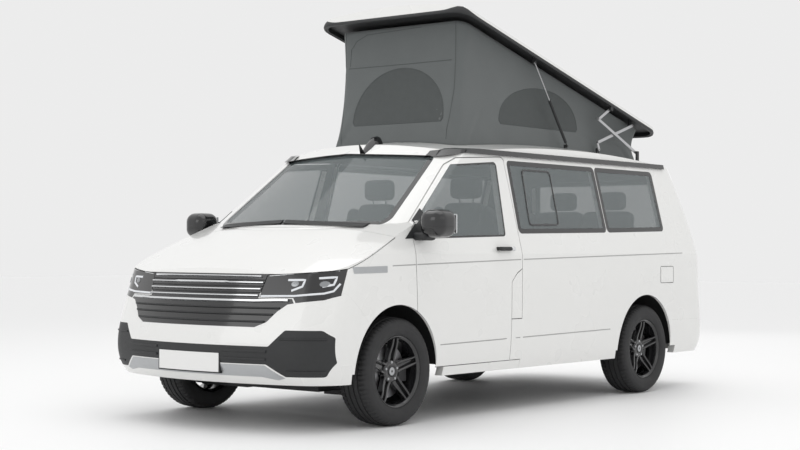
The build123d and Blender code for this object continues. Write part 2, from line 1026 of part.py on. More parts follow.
# Head lamps, grille and front bumper
with BuildPart() as lamp_pair:
    for fill in lamp_fills:
        add(fill)
with BuildPart() as head_lamps:
    add(shell.part)
    add(lamp_pair.part, mode=Mode.INTERSECT)
    add(bonnet_gap, mode=Mode.SUBTRACT)
save(head_lamps, "head_lamps")

grille_region = front_prism(grille_outline, bumper_arch_line, front_far, grow=-seat_gap)
with BuildPart() as grille:
    add(shell.part)
    add(grille_region, mode=Mode.INTERSECT)
save(grille, "grille")

insert_half = [
    (insert_half_width, insert_head),
    (fog_inner_side, fog_head),
    (fog_outer_side - fog_corner, fog_head),
    (fog_outer_side, fog_head - fog_corner),
    (fog_outer_side, insert_foot + fog_corner * 2),
    (fog_outer_side - fog_corner, insert_foot),
    (fog_inner_side, insert_foot),
    (skid_half_width, skid_top),
]
insert_outline = insert_half + [(-y, z) for y, z in reversed(insert_half)]
insert_hole = front_prism(insert_outline, nose_start, front_far, corner=insert_corner)
insert_region = front_prism(insert_outline, nose_start, front_far, corner=insert_corner, grow=-seat_gap)
with BuildPart() as front_bumper:
    add(shell.part)
    add(bumper_region, mode=Mode.INTERSECT)
    for cut in [*lamp_holes, grille_hole, insert_hole]:
        add(cut, mode=Mode.SUBTRACT)
save(front_bumper, "front_bumper")
with BuildPart() as bumper_insert:
    add(shell.part)
    add(insert_region, mode=Mode.INTERSECT)
save(bumper_insert, "bumper_insert")

# Rear bumper and tail lamps
with BuildPart() as rear_bumper:
    add(shell.part)
    add(rear_bumper_region, mode=Mode.INTERSECT)
save(rear_bumper, "rear_bumper")
with BuildPart() as tail_lamps:
    add(shell.part)
    add(tail_lamp_region.part, mode=Mode.INTERSECT)
save(tail_lamps, "tail_lamps")

# Roof rails along both sides, following the body
outer_grown = body_solid(-rail_thickness, -rail_thickness)
outer_seat = body_solid(-seat_gap, -seat_gap)
rail_outline = [
    (rail_front, rail_front_height - rail_depth / 2),
    (rail_front, rail_front_height + rail_depth / 2),
    (rail_knee, rail_knee_height + rail_depth / 2),
    (rail_rear, rail_knee_height + rail_depth / 2),
    (rail_rear, rail_knee_height - rail_depth / 2),
    (rail_knee, rail_knee_height - rail_depth / 2),
]
rail_band = side_prism(rail_outline, rail_inner_side, far_side)
with BuildPart() as roof_rails:
    add(rail_band)
    add(mirror(rail_band, about=Plane.XZ))
    add(outer_grown, mode=Mode.INTERSECT)
    add(outer_seat, mode=Mode.SUBTRACT)
save(roof_rails, "roof_rails")

# Wheel housings: liners round the top of each well, with an inner wall
with BuildPart() as wheel_housings:
    for axle in (front_axle, rear_axle_place):
        for side in (1, -1):
            near = min(side * well_inner, side * well_lip)
            far = max(side * well_inner, side * well_lip)
            inner_face = side * (well_inner - liner / 2)
            with BuildSketch(Plane.XZ.offset(-far)):
                with Locations((axle, arch_height)):
                    Circle(well_radius + liner)
                    Circle(well_radius, mode=Mode.SUBTRACT)
                with Locations((axle, arch_height - well_radius)):
                    Rectangle(well_radius * 3, well_radius * 2, mode=Mode.SUBTRACT)
            extrude(amount=far - near)
            with BuildSketch(Plane.XZ.offset(-inner_face - liner / 2)):
                with Locations((axle, arch_height)):
                    Circle(well_radius + liner)
                with Locations((axle, arch_height - well_radius)):
                    Rectangle(well_radius * 3, well_radius * 2, mode=Mode.SUBTRACT)
            extrude(amount=liner)
save(wheel_housings, "wheel_housings")

# Floor pan with the bulkhead in front of the cab
inner_seat = body_solid(wall + seat_gap, roof_wall + seat_gap)
with BuildPart() as floor_pan:
    add(block(floor_rear, floor_front + wall, -half_width, half_width, floor_bottom, floor_top))
    add(block(bulkhead_back, bulkhead_front, -half_width, half_width, floor_bottom, bulkhead_top))
    add(inner_seat, mode=Mode.INTERSECT)
    for cut in well_cuts:
        add(cut, mode=Mode.SUBTRACT)
    add(block(load_rear, load_front, -load_half_width, load_half_width, floor_bottom, floor_top + load_board))
save(floor_pan, "floor_pan")

column_plane = Plane(
    origin=(column_x, seat_place, column_z),
    x_dir=(0, 1, 0),
    z_dir=(-cos(radians(column_lean)), 0, sin(radians(column_lean))),
)
# Dashboard across the cab
dash_outline = [
    (bulkhead_back - seat_gap, dash_bottom),
    (bulkhead_back - seat_gap, dash_top),
    ((dash_front + dash_rear) / 2, dash_brow),
    (dash_rear, dash_top),
    (dash_rear, (dash_bottom + dash_top) / 2),
    ((dash_front + dash_rear) / 2, dash_bottom),
]
with BuildPart() as dashboard:
    add(side_prism(dash_outline, -dash_half_width, dash_half_width))
    with BuildSketch(column_plane.offset(-column_length - shut_gap)):
        Circle(column_radius + shut_gap)
    extrude(amount=column_length, mode=Mode.SUBTRACT)
save(dashboard, "dashboard")

# Steering wheel on its column
with BuildPart() as steering_wheel:
    with BuildSketch(Plane(origin=column_plane.origin, x_dir=column_plane.z_dir, z_dir=(0, 1, 0))):
        with Locations((0, wheel_rim_radius)):
            Circle(wheel_rim_tube)
    revolve(axis=Axis(column_plane.origin, column_plane.z_dir))
    with BuildSketch(column_plane.offset(-wheel_boss_length)):
        Circle(wheel_boss_radius)
    extrude(amount=wheel_boss_length)
    with BuildSketch(column_plane.offset(-wheel_spoke_thickness / 2)):
        with Locations((wheel_rim_radius / 2, 0), (-wheel_rim_radius / 2, 0)):
            Rectangle(wheel_rim_radius, wheel_spoke_width)
        with Locations((0, -wheel_rim_radius / 2)):
            Rectangle(wheel_spoke_width, wheel_rim_radius)
    extrude(amount=wheel_spoke_thickness)
    with BuildSketch(column_plane.offset(-column_length)):
        Circle(column_radius)
    extrude(amount=column_length)
save(steering_wheel, "steering_wheel")


def seat_side(front, back, base, cushion, back_top, lean, depth):
    """A seat's outline from the side: cushion and leaning back in one."""
    return [
        (front, base),
        (front, cushion),
        (back + depth, cushion),
        (back - lean + depth * 0.8, back_top),
        (back - lean, back_top),
        (back, base),
    ]


# Front seats on their pedestals, each with its headrest
front_seat_outline = seat_side(
    seat_front, seat_back, seat_base_height, seat_cushion_top, seat_back_top, seat_back_lean, seat_back_depth
)
with BuildPart() as front_seats:
    for side in (1, -1):
        middle = side * seat_place
        add(side_prism(front_seat_outline, middle - seat_half_width, middle + seat_half_width))
        add(
            block(
                seat_back + pedestal_inset,
                seat_front - pedestal_inset,
                middle - seat_half_width + pedestal_inset,
                middle + seat_half_width - pedestal_inset,
                floor_top + seat_gap,
                seat_base_height + pedestal_inset,
            )
        )
        add(
            block(
                seat_back - seat_back_lean,
                seat_back - seat_back_lean + headrest_depth,
                middle - headrest_half_width,
                middle + headrest_half_width,
                seat_back_top - pedestal_inset,
                seat_head_top,
            )
        )
save(front_seats, "front_seats")

# Rear bench for three
bench_outline = seat_side(
    bench_front, bench_back, bench_base_height, bench_cushion_top, bench_back_top, bench_back_lean, bench_back_depth
)
bench_plinth = block(
    bench_back,
    bench_front - pedestal_inset,
    -well_inner + pedestal_inset,
    well_inner - pedestal_inset,
    floor_top + seat_gap,
    bench_base_height + pedestal_inset,
)
with BuildPart() as rear_bench:
    add(side_prism(bench_outline, -bench_half_width, bench_half_width))
    add(bench_plinth)
    for place in (-bench_head_place, 0, bench_head_place):
        add(
            block(
                bench_back - bench_back_lean,
                bench_back - bench_back_lean + headrest_depth,
                place - bench_head_half_width,
                place + bench_head_half_width,
                bench_back_top - pedestal_inset,
                bench_head_top,
            )
        )
save(rear_bench, "rear_bench")

# Engine, one plain block
with BuildPart() as engine_block:
    add(block(engine_rear, engine_front, -engine_half_width, engine_half_width, engine_bottom, engine_top))
save(engine_block, "engine_block")


# Front subframe with its lower arms and the posts up to the floor
def kingpin_plane(side):
    """The plane across the kingpin axis at the lower ball joint."""
    lean = tan_lean * side
    return Plane(
        origin=(front_axle, side * (kingpin_foot - tan_lean * ball_height), ball_height),
        x_dir=(1, 0, 0),
        z_dir=(0, -lean, 1),
    )


tan_lean = sin(radians(kingpin_lean)) / cos(radians(kingpin_lean))
with BuildPart() as front_subframe:
    add(
        block(
            subframe_rear, subframe_front, -subframe_half_width, subframe_half_width,
            subframe_bottom, subframe_bottom + subframe_height,
        )
    )
    for side in (1, -1):
        ball_side = side * (kingpin_foot - tan_lean * ball_height)
        near = min(side * (subframe_half_width - mount_post), ball_side)
        far = max(side * (subframe_half_width - mount_post), ball_side)
        add(
            block(
                front_axle - arm_width / 2, front_axle + arm_width / 2, near, far,
                ball_height - arm_thickness, ball_height,
            )
        )
        add(
            block(
                subframe_rear - mount_post, subframe_rear,
                side * (subframe_half_width - mount_post) - mount_post / 2,
                side * (subframe_half_width - mount_post) + mount_post / 2,
                subframe_bottom, floor_bottom - seat_gap,
            )
        )
    for side in (1, -1):
        with BuildSketch(kingpin_plane(side).offset(-arm_thickness)):
            Circle(ball_radius * 1.6)
        extrude(amount=arm_thickness)
        with BuildSketch(kingpin_plane(side).offset(-arm_thickness * 2)):
            Circle(ball_radius / 2 + pin_clearance)
        extrude(amount=arm_thickness * 4, mode=Mode.SUBTRACT)
    with Locations(*[(engine_rear + mount_post, side * engine_half_width / 2, subframe_bottom + subframe_height) for side in (1, -1)]):
        Box(
            mount_post / 2, mount_post, engine_bottom - subframe_bottom - subframe_height - seat_gap,
            align=(Align.CENTER, Align.CENTER, Align.MIN),
        )
save(front_subframe, "front_subframe")

# Knuckles with stub axle, brake caliper and strut
hub_face = half_track + disc_inset
disc_outer = hub_face - wheel_hub_length
with BuildPart() as knuckle_left:
    add(
        cross_cylinder(
            front_axle, tyre_radius, hub_carrier_radius,
            disc_outer - disc_thickness - shut_gap - hub_carrier_length, disc_outer - disc_thickness - shut_gap,
        )
    )
    add(
        cross_cylinder(
            front_axle, tyre_radius, bore_radius - stub_clearance,
            disc_outer - disc_thickness - shut_gap, hub_face - shut_gap,
        )
    )
    with BuildSketch(kingpin_plane(1).offset(-arm_thickness / 2)):
        Circle(ball_radius / 2)
    extrude(amount=arm_thickness * 3)
    with BuildSketch(kingpin_plane(1).offset(shut_gap * 2)):
        Rectangle(hub_carrier_radius, hub_carrier_radius * 0.8)
    extrude(amount=(tyre_radius - ball_height) * 0.8)
    strut_place = half_track - tyre_half - strut_clearance - strut_radius - strut_radius / 8
    spring_place = half_track - tyre_half - strut_clearance - spring_radius
    with BuildSketch(Plane.XY.offset(strut_foot_height)):
        with Locations((front_axle, strut_place)):
            Circle(strut_radius)
    extrude(amount=strut_top - strut_foot_height)
    with BuildSketch(Plane.XY.offset(spring_foot)):
        with Locations((front_axle, spring_place)):
            Circle(spring_radius)
    extrude(amount=spring_top - spring_foot)
    add(
        block(
            front_axle - strut_radius * 0.8, front_axle + strut_radius * 0.8,
            strut_place, disc_outer - disc_thickness - shut_gap * 4,
            tyre_radius, strut_foot_height + strut_bracket_height,
        )
    )
    caliper_near = disc_outer - disc_thickness - shut_gap - caliper_reach
    add(
        block(
            front_axle - disc_radius - shut_gap * 2, front_axle - disc_radius + caliper_depth,
            caliper_near, disc_outer + shut_gap + caliper_wall,
            tyre_radius - caliper_length / 2, tyre_radius + caliper_length / 2,
        )
    )
    add(
        block(
            front_axle - disc_radius, front_axle,
            caliper_near, disc_outer - disc_thickness - shut_gap,
            tyre_radius - caliper_arm / 2, tyre_radius + caliper_arm / 2,
        )
    )
    add(
        cross_cylinder(
            front_axle, tyre_radius, disc_radius + shut_gap,
            disc_outer - disc_thickness - shut_gap, disc_outer + shut_gap,
        ),
        mode=Mode.SUBTRACT,
    )
    add(
        cross_cylinder(
            front_axle, tyre_radius, bore_radius - stub_clearance,
            disc_outer - disc_thickness - shut_gap * 2, hub_face - shut_gap,
        )
    )
save(knuckle_left, "knuckle_left")
with BuildPart() as knuckle_right:
    add(mirror(knuckle_left.part, about=Plane.XZ))
save(knuckle_right, "knuckle_right")

# Rear axle: cross beam, carriers with stub axles, trailing arms and springs
with BuildPart() as rear_axle:
    carrier_near = disc_outer - disc_thickness - shut_gap - hub_carrier_length
    add(
        block(
            rear_axle_place - rear_beam_size, rear_axle_place + rear_beam_size / 2,
            -carrier_near - shut_gap, carrier_near + shut_gap,
            rear_beam_height - rear_beam_size / 2, rear_beam_height + rear_beam_size / 2,
        )
    )
    for side in (1, -1):
        places = [side * carrier_near, side * (disc_outer - disc_thickness - shut_gap), side * (hub_face - shut_gap)]
        add(
            cross_cylinder(
                rear_axle_place, tyre_radius, rear_carrier_radius, min(places[0], places[1]), max(places[0], places[1])
            )
        )
        add(
            cross_cylinder(
                rear_axle_place, tyre_radius, bore_radius - stub_clearance,
                min(places[1], places[2]), max(places[1], places[2]),
            )
        )
        arm_middle = side * (well_inner - trailing_arm_size)
        add(
            block(
                rear_axle_place, rear_axle_place + trailing_arm_length,
                arm_middle - trailing_arm_size / 2, arm_middle + trailing_arm_size / 2,
                rear_beam_height - rear_beam_size / 2, rear_beam_height + rear_beam_size / 2,
            )
        )
        add(
            block(
                rear_axle_place + trailing_arm_length - mount_post, rear_axle_place + trailing_arm_length,
                arm_middle - trailing_arm_size / 2, arm_middle + trailing_arm_size / 2,
                rear_beam_height, floor_bottom - seat_gap,
            )
        )
        with BuildSketch(Plane.XY.offset(rear_beam_height)):
            with Locations((rear_axle_place - rear_beam_size / 4, arm_middle)):
                Circle(rear_spring_radius * 0.8)
        extrude(amount=floor_bottom - seat_gap - rear_beam_height)
save(rear_axle, "rear_axle")


# Wheels: a tyre and a rim with its brake disc
def wheel_plane(axle, side):
    """The plane through a wheel's axis, its first direction pointing outward."""
    return Plane(origin=(axle, side * half_track, tyre_radius), x_dir=(0, side, 0), z_dir=(side, 0, 0))


wheel_places = [
    ("front_left", front_axle, 1),
    ("front_right", front_axle, -1),
    ("rear_left", rear_axle_place, 1),
    ("rear_right", rear_axle_place, -1),
]
for wheel_name, axle, side in wheel_places:
    spin = Axis((axle, side * half_track, tyre_radius), (0, side, 0))
    with BuildPart() as tyre:
        with BuildSketch(wheel_plane(axle, side)):
            with BuildLine():
                Polyline(
                    (-flange_half, rim_radius + seat_gap),
                    (-bead_half + seat_gap, rim_radius + seat_gap),
                    (-bead_half + seat_gap, rim_bead + seat_gap),
                    (bead_half - seat_gap, rim_bead + seat_gap),
                    (bead_half - seat_gap, rim_radius + seat_gap),
                    (flange_half, rim_radius + seat_gap),
                )
                ThreePointArc(
                    (flange_half, rim_radius + seat_gap),
                    (tyre_half, side_bulge),
                    (tyre_half - tyre_shoulder / 2, tyre_radius - tyre_shoulder / 2),
                )
                Line(
                    (tyre_half - tyre_shoulder / 2, tyre_radius - tyre_shoulder / 2),
                    (tyre_half - tyre_shoulder, tyre_radius - tread_crown / 2),
                )
                ThreePointArc(
                    (tyre_half - tyre_shoulder, tyre_radius - tread_crown / 2),
                    (0, tyre_radius),
                    (-tyre_half + tyre_shoulder, tyre_radius - tread_crown / 2),
                )
                Line(
                    (-tyre_half + tyre_shoulder, tyre_radius - tread_crown / 2),
                    (-tyre_half + tyre_shoulder / 2, tyre_radius - tyre_shoulder / 2),
                )
                ThreePointArc(
                    (-tyre_half + tyre_shoulder / 2, tyre_radius - tyre_shoulder / 2),
                    (-tyre_half, side_bulge),
                    (-flange_half, rim_radius + seat_gap),
                )
            make_face()
        revolve(axis=spin)
    save(tyre, "tyre_" + wheel_name)

    spoke_face = wheel_plane(axle, side)
    with BuildPart() as rim:
        with BuildSketch(spoke_face):
            with BuildLine():
                Polyline(
                    (-bead_half, rim_bead),
                    (bead_half, rim_bead),
                    (bead_half, rim_radius),
                    (bead_half + rim_barrel_thickness, rim_radius),
                    (bead_half + rim_barrel_thickness, rim_bead - rim_barrel_thickness),
                    (-bead_half - rim_barrel_thickness, rim_bead - rim_barrel_thickness),
                    (-bead_half - rim_barrel_thickness, rim_radius),
                    (-bead_half, rim_radius),
                    close=True,
                )
            make_face()
        revolve(axis=spin)
        disc_plane = Plane(
            origin=(axle, side * (hub_face - wheel_hub_length), tyre_radius), x_dir=(1, 0, 0), z_dir=(0, side, 0)
        )
        with BuildSketch(disc_plane):
            Circle(wheel_hub_radius)
        extrude(amount=wheel_hub_length)
        with BuildSketch(disc_plane.offset(-disc_thickness)):
            Circle(disc_radius)
        extrude(amount=disc_thickness)
        with BuildSketch(disc_plane.offset(wheel_hub_length - spoke_thickness)):
            with PolarLocations(0, spoke_count, start_angle=90):
                with BuildLine():
                    Polyline(
                        (0, -spoke_width / 2),
                        (rim_bead - rim_barrel_thickness / 2, -spoke_tip_width / 2),
                        (rim_bead - rim_barrel_thickness / 2, spoke_tip_width / 2),
                        (0, spoke_width / 2),
                        close=True,
                    )
                make_face()
        extrude(amount=spoke_thickness)
        with BuildSketch(disc_plane.offset(-disc_thickness)):
            Circle(bore_radius)
        extrude(amount=disc_thickness + wheel_hub_length - shut_gap + pin_clearance, mode=Mode.SUBTRACT)
    save(rim, "rim_" + wheel_name)

# Pop-up roof lid: a crowned tray on its own slanting plane, hollow below
lid_slope = sin(radians(lid_angle)) / cos(radians(lid_angle))
lid_plane = Plane(
    origin=(lid_front, 0, lid_front_height),
    x_dir=(cos(radians(lid_angle)), 0, lid_slope * cos(radians(lid_angle))),
    z_dir=(-sin(radians(lid_angle)), 0, cos(radians(lid_angle))),
)
with BuildPart() as lid:
    with BuildSketch(lid_plane):
        with Locations((-lid_length / 2, 0)):
            RectangleRounded(lid_length, lid_half_width * 2, lid_corner)
    extrude(amount=lid_height)
    with BuildSketch(Plane(origin=lid_plane.origin, x_dir=(0, 1, 0), z_dir=lid_plane.x_dir).offset(-lid_length)):
        with Locations((0, lid_height - lid_crown)):
            Circle(lid_crown)
    extrude(amount=lid_length * 2, both=True, mode=Mode.INTERSECT)
    with BuildSketch(lid_plane):
        with Locations((-lid_length / 2, 0)):
            RectangleRounded(lid_length - lid_skirt * 2, (lid_half_width - lid_skirt) * 2, lid_corner - lid_skirt)
    extrude(amount=lid_hollow, mode=Mode.SUBTRACT)
save(lid, "lid")


def rim_height(x):
    """Height of the lid's lower edge at a place along the van."""
    return lid_front_height - (lid_front - x) * lid_slope


# Tent between the roof opening and the lid
roof_outside = above_roof(-seat_gap)
tent_outline = [
    (tent_front, tent_start_height),
    (tent_front, rim_height(tent_front) - seat_gap),
    (tent_rear, rim_height(tent_rear) - seat_gap),
    (tent_rear, tent_start_height),
]
tent_cavity = [
    (tent_front - tent_wall, tent_start_height),
    (tent_front - tent_wall, rim_height(tent_front) + tent_wall),
    (tent_rear + tent_wall, rim_height(tent_rear) + tent_wall),
    (tent_rear + tent_wall, tent_start_height),
]
with BuildPart() as tent_room:
    add(side_prism(tent_cavity, -tent_half_width + tent_wall, tent_half_width - tent_wall))
    fillet(tent_room.edges().filter_by(Axis.Z), tent_corner - tent_wall)
with BuildPart() as tent:
    add(side_prism(tent_outline, -tent_half_width, tent_half_width))
    fillet(tent.edges().filter_by(Axis.Z), tent_corner)
    add(tent_room.part, mode=Mode.SUBTRACT)
    add(roof_outside, mode=Mode.INTERSECT)
save(tent, "tent")

# Places of the crossed arms and of their short links
arm_foot = (arm_pivot_x, arm_pivot_height)
arm_head = (arm_head_x, arm_head_height)
arm_slope = (arm_head_height - arm_pivot_height) / (arm_head_x - arm_pivot_x)
crossing = (crossing_x, arm_pivot_height + (crossing_x - arm_pivot_x) * arm_slope)
cross_head = (cross_pivot_x, rim_height(cross_pivot_x) - cross_pivot_drop)
cross_slope = (crossing[1] - cross_head[1]) / (crossing_x - cross_pivot_x)
cross_foot = (cross_foot_x, cross_head[1] + (cross_foot_x - cross_pivot_x) * cross_slope)
lower_pivot = (lower_link_x, arm_pivot_height)
upper_pivot = (upper_link_x, rim_height(upper_link_x) - upper_link_drop)
strut_foot = (strut_foot_x, arm_pivot_height)
strut_head = (strut_head_x, rim_height(strut_head_x) - strut_head_drop)

# The four layers of bars on each side, from the tent outwards, and the posts and ears beside them
layer_step = link_thickness + link_space
lower_layer = link_side
cross_layer = lower_layer + layer_step
long_layer = cross_layer + layer_step
upper_layer = long_layer + layer_step
inner_post = lower_layer - link_space - post_thickness
outer_post = upper_layer
outer_ear = upper_layer + layer_step


def link(start, end, near, far):
    """A round-ended bar between two pivots."""
    middle = ((start[0] + end[0]) / 2, (start[1] + end[1]) / 2)
    span = ((end[0] - start[0]) ** 2 + (end[1] - start[1]) ** 2) ** 0.5
    with BuildPart() as bar:
        with BuildSketch(Plane.XZ.offset(-far)):
            with Locations(Location(middle + (0,), (0, 0, degrees(atan2(end[1] - start[1], end[0] - start[0]))))):
                SlotCenterToCenter(span, link_depth)
        extrude(amount=far - near)
    return bar.part


def both_sides(half):
    """A left half and its mirror image."""
    with BuildPart() as pair:
        add(half)
        add(mirror(half, about=Plane.XZ))
    return pair


def lid_block(along_from, along_to, low, high, near, far):
    """A block square to the lid, placed by distances along the lid from its front edge."""
    with BuildPart() as solid:
        with BuildSketch(lid_plane.offset(low)):
            with Locations(((along_from + along_to) / 2, (near + far) / 2)):
                Rectangle(along_to - along_from, far - near)
        extrude(amount=high - low)
    return solid.part


def lid_ear(place, high, near):
    """An ear below the lid around a pivot's place, reaching up to a given height above the lid's edge."""
    along = (place[0] - lid_front) * cos(radians(lid_angle)) + (place[1] - lid_front_height) * sin(radians(lid_angle))
    below = (place[1] - rim_height(place[0])) * cos(radians(lid_angle))
    return lid_block(
        along - post_width / 2, along + post_width / 2, below - pin_radius * 2, high, near, near + post_thickness
    )


def roof_post(x, near):
    """A post on the roof around a pivot's place, cut to the roof's surface below."""
    return block(
        x - post_width / 2, x + post_width / 2, near, near + post_thickness,
        tent_start_height, arm_pivot_height + pin_radius * 2,
    )


# Long arms, from the roof at the rear to the upper links
with BuildPart() as long_arm:
    add(link(arm_foot, arm_head, long_layer, long_layer + link_thickness))
    for x, z in (arm_foot, crossing):
        add(
            cross_cylinder(x, z, pin_radius + pin_clearance, cross_layer, upper_layer),
            mode=Mode.SUBTRACT,
        )
    add(cross_cylinder(arm_head[0], arm_head[1], pin_radius, long_layer, upper_layer + link_thickness))
long_arms = both_sides(long_arm.part)
save(long_arms, "long_arms")

# Cross arms, from the lid at the rear to the lower links
with BuildPart() as cross_arm:
    add(link(cross_foot, cross_head, cross_layer, cross_layer + link_thickness))
    add(cross_cylinder(crossing[0], crossing[1], pin_radius, cross_layer, long_layer + link_thickness))
    add(cross_cylinder(cross_foot[0], cross_foot[1], pin_radius, lower_layer, cross_layer + link_thickness))
    add(
        cross_cylinder(cross_head[0], cross_head[1], pin_radius + pin_clearance, lower_layer, long_layer),
        mode=Mode.SUBTRACT,
    )
cross_arms = both_sides(cross_arm.part)
save(cross_arms, "cross_arms")

# Short lower links, whose wide eyes take up the cross arms' play
with BuildPart() as lower_link:
    add(link(lower_pivot, cross_foot, lower_layer, lower_layer + link_thickness))
    add(cross_cylinder(cross_foot[0], cross_foot[1], lower_eye_radius, lower_layer, lower_layer + link_thickness))
    for place, radius in ((lower_pivot, pin_radius + pin_clearance), (cross_foot, pin_radius + lower_eye_play)):
        add(
            cross_cylinder(place[0], place[1], radius, inner_post, cross_layer),
            mode=Mode.SUBTRACT,
        )
lower_links = both_sides(lower_link.part)
save(lower_links, "lower_links")

# Short upper links below the lid
with BuildPart() as upper_link:
    add(link(upper_pivot, arm_head, upper_layer, upper_layer + link_thickness))
    for place, radius in ((upper_pivot, pin_radius + pin_clearance), (arm_head, pin_radius + upper_eye_play)):
        add(
            cross_cylinder(place[0], place[1], radius, long_layer, outer_ear),
            mode=Mode.SUBTRACT,
        )
upper_links = both_sides(upper_link.part)
save(upper_links, "upper_links")

# Gas struts: barrels that turn on the roof, and rods that slide in them up to the lid
strut_run = strut_head[0] - strut_foot[0]
strut_rise = strut_head[1] - strut_foot[1]
strut_length = (strut_run**2 + strut_rise**2) ** 0.5
strut_near = strut_side - strut_eye_width / 2
strut_far = strut_side + strut_eye_width / 2
strut_plane = Plane(
    origin=(strut_foot[0], strut_side, strut_foot[1]),
    x_dir=(0, 1, 0),
    z_dir=(strut_run / strut_length, 0, strut_rise / strut_length),
)
with BuildPart() as strut_barrel:
    add(cross_cylinder(strut_foot[0], strut_foot[1], strut_eye_radius, strut_near, strut_far))
    with BuildSketch(strut_plane.offset((pin_radius + strut_eye_radius) / 2)):
        Circle(strut_neck_radius)
    extrude(amount=strut_neck)
    with BuildSketch(strut_plane.offset(strut_neck)):
        Circle(barrel_radius)
    extrude(amount=barrel_length - strut_neck)
    with BuildSketch(strut_plane.offset(strut_neck * 2)):
        Circle(rod_radius + pin_clearance)
    extrude(amount=barrel_length, mode=Mode.SUBTRACT)
    add(
        cross_cylinder(strut_foot[0], strut_foot[1], pin_radius + pin_clearance, inner_post, upper_layer),
        mode=Mode.SUBTRACT,
    )
strut_barrels = both_sides(strut_barrel.part)
save(strut_barrels, "strut_barrels")

with BuildPart() as strut_rod:
    with BuildSketch(strut_plane.offset(barrel_length - rod_overlap)):
        Circle(rod_radius)
    extrude(amount=strut_length - barrel_length + rod_overlap)
    add(cross_cylinder(strut_head[0], strut_head[1], strut_eye_radius, strut_near, strut_far))
    add(
        cross_cylinder(strut_head[0], strut_head[1], pin_radius + pin_clearance, inner_post, upper_layer),
        mode=Mode.SUBTRACT,
    )
strut_rods = both_sides(strut_rod.part)
save(strut_rods, "strut_rods")

# Brackets on the roof: posts and pins for the long arms, the lower links and the struts
strut_post = strut_near - link_space / 2 - post_thickness
with BuildPart() as roof_bracket:
    add(roof_post(arm_pivot_x, outer_post))
    add(roof_post(lower_link_x, inner_post))
    add(roof_post(strut_foot_x, strut_post))
    add(roof_outside, mode=Mode.INTERSECT)
    add(cross_cylinder(arm_foot[0], arm_foot[1], pin_radius, long_layer, outer_post + post_thickness))
    add(cross_cylinder(lower_pivot[0], lower_pivot[1], pin_radius, inner_post, lower_layer + link_thickness))
    add(cross_cylinder(strut_foot[0], strut_foot[1], pin_radius, strut_post, strut_far))
roof_brackets = both_sides(roof_bracket.part)
save(roof_brackets, "roof_brackets")

# Ears and pins below the lid for the cross arms, the upper links and the struts
ear_top = lid_hollow - seat_gap
with BuildPart() as lid_fitting:
    add(lid_ear(cross_head, ear_top, inner_post))
    add(lid_ear(upper_pivot, -seat_gap, outer_ear))
    add(lid_ear(strut_head, ear_top, strut_post))
    add(cross_cylinder(cross_head[0], cross_head[1], pin_radius, inner_post, cross_layer + link_thickness))
    add(cross_cylinder(upper_pivot[0], upper_pivot[1], pin_radius, upper_layer, outer_ear + post_thickness))
    add(cross_cylinder(strut_head[0], strut_head[1], pin_radius, strut_post, strut_far))
lid_fittings = both_sides(lid_fitting.part)
save(lid_fittings, "lid_fittings")

# Mirrors on the front doors, with the door handles
with BuildPart() as fitting_blank:
    with BuildSketch(Plane.YZ.offset(mirror_rear)):
        with Locations(((mirror_inner + mirror_outer) / 2, (mirror_bottom + mirror_top) / 2)):
            RectangleRounded(mirror_outer - mirror_inner, mirror_top - mirror_bottom, mirror_corner)
    with BuildSketch(Plane.YZ.offset(mirror_front)):
        with Locations(((mirror_inner + mirror_outer) / 2 - mirror_corner / 2, (mirror_bottom + mirror_top) / 2)):
            RectangleRounded(
                (mirror_outer - mirror_inner) * 0.6, (mirror_top - mirror_bottom) * 0.6, mirror_corner * 0.6
            )
    loft()
    add(
        block(
            mirror_foot_rear, mirror_foot_front, half_width - wall, mirror_inner + mirror_corner,
            mirror_foot_bottom, mirror_foot_top,
        )
    )
    add(outer_seat, mode=Mode.SUBTRACT)
with BuildPart() as handle_blank:
    add(
        block(
            handle_rear, handle_front, half_width - handle_stand, half_width + handle_stand,
            handle_height - handle_depth / 2, handle_height + handle_depth / 2,
        )
    )
    add(outer_seat, mode=Mode.SUBTRACT)
with BuildPart() as door_fittings_left:
    add(fitting_blank.part)
    add(handle_blank.part)
save(door_fittings_left, "door_fittings_left")
with BuildPart() as door_fittings_right:
    add(mirror(door_fittings_left.part, about=Plane.XZ))
save(door_fittings_right, "door_fittings_right")

# Wipers, lying on the windscreen's foot
screen_grown = body_solid(-wiper_thickness, -wiper_thickness)
wiper_band = front_prism(
    [
        (screen_sill_side * 0.85, wiper_sill),
        (screen_sill_side * 0.85, wiper_sill + wiper_thickness * 2),
        (wiper_thickness, wiper_sill + wiper_thickness * 4),
        (wiper_thickness, wiper_sill + wiper_thickness * 2),
    ],
    front_axle * 0.8,
    front_far,
)
with BuildPart() as wiper:
    add(wiper_band)
    add(screen_grown, mode=Mode.INTERSECT)
    add(outer_seat, mode=Mode.SUBTRACT)
wipers = both_sides(wiper.part)
save(wipers, "wipers")
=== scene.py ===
import bpy, bmesh, math, random
from mathutils import Vector, Matrix
from mathutils.bvhtree import BVHTree


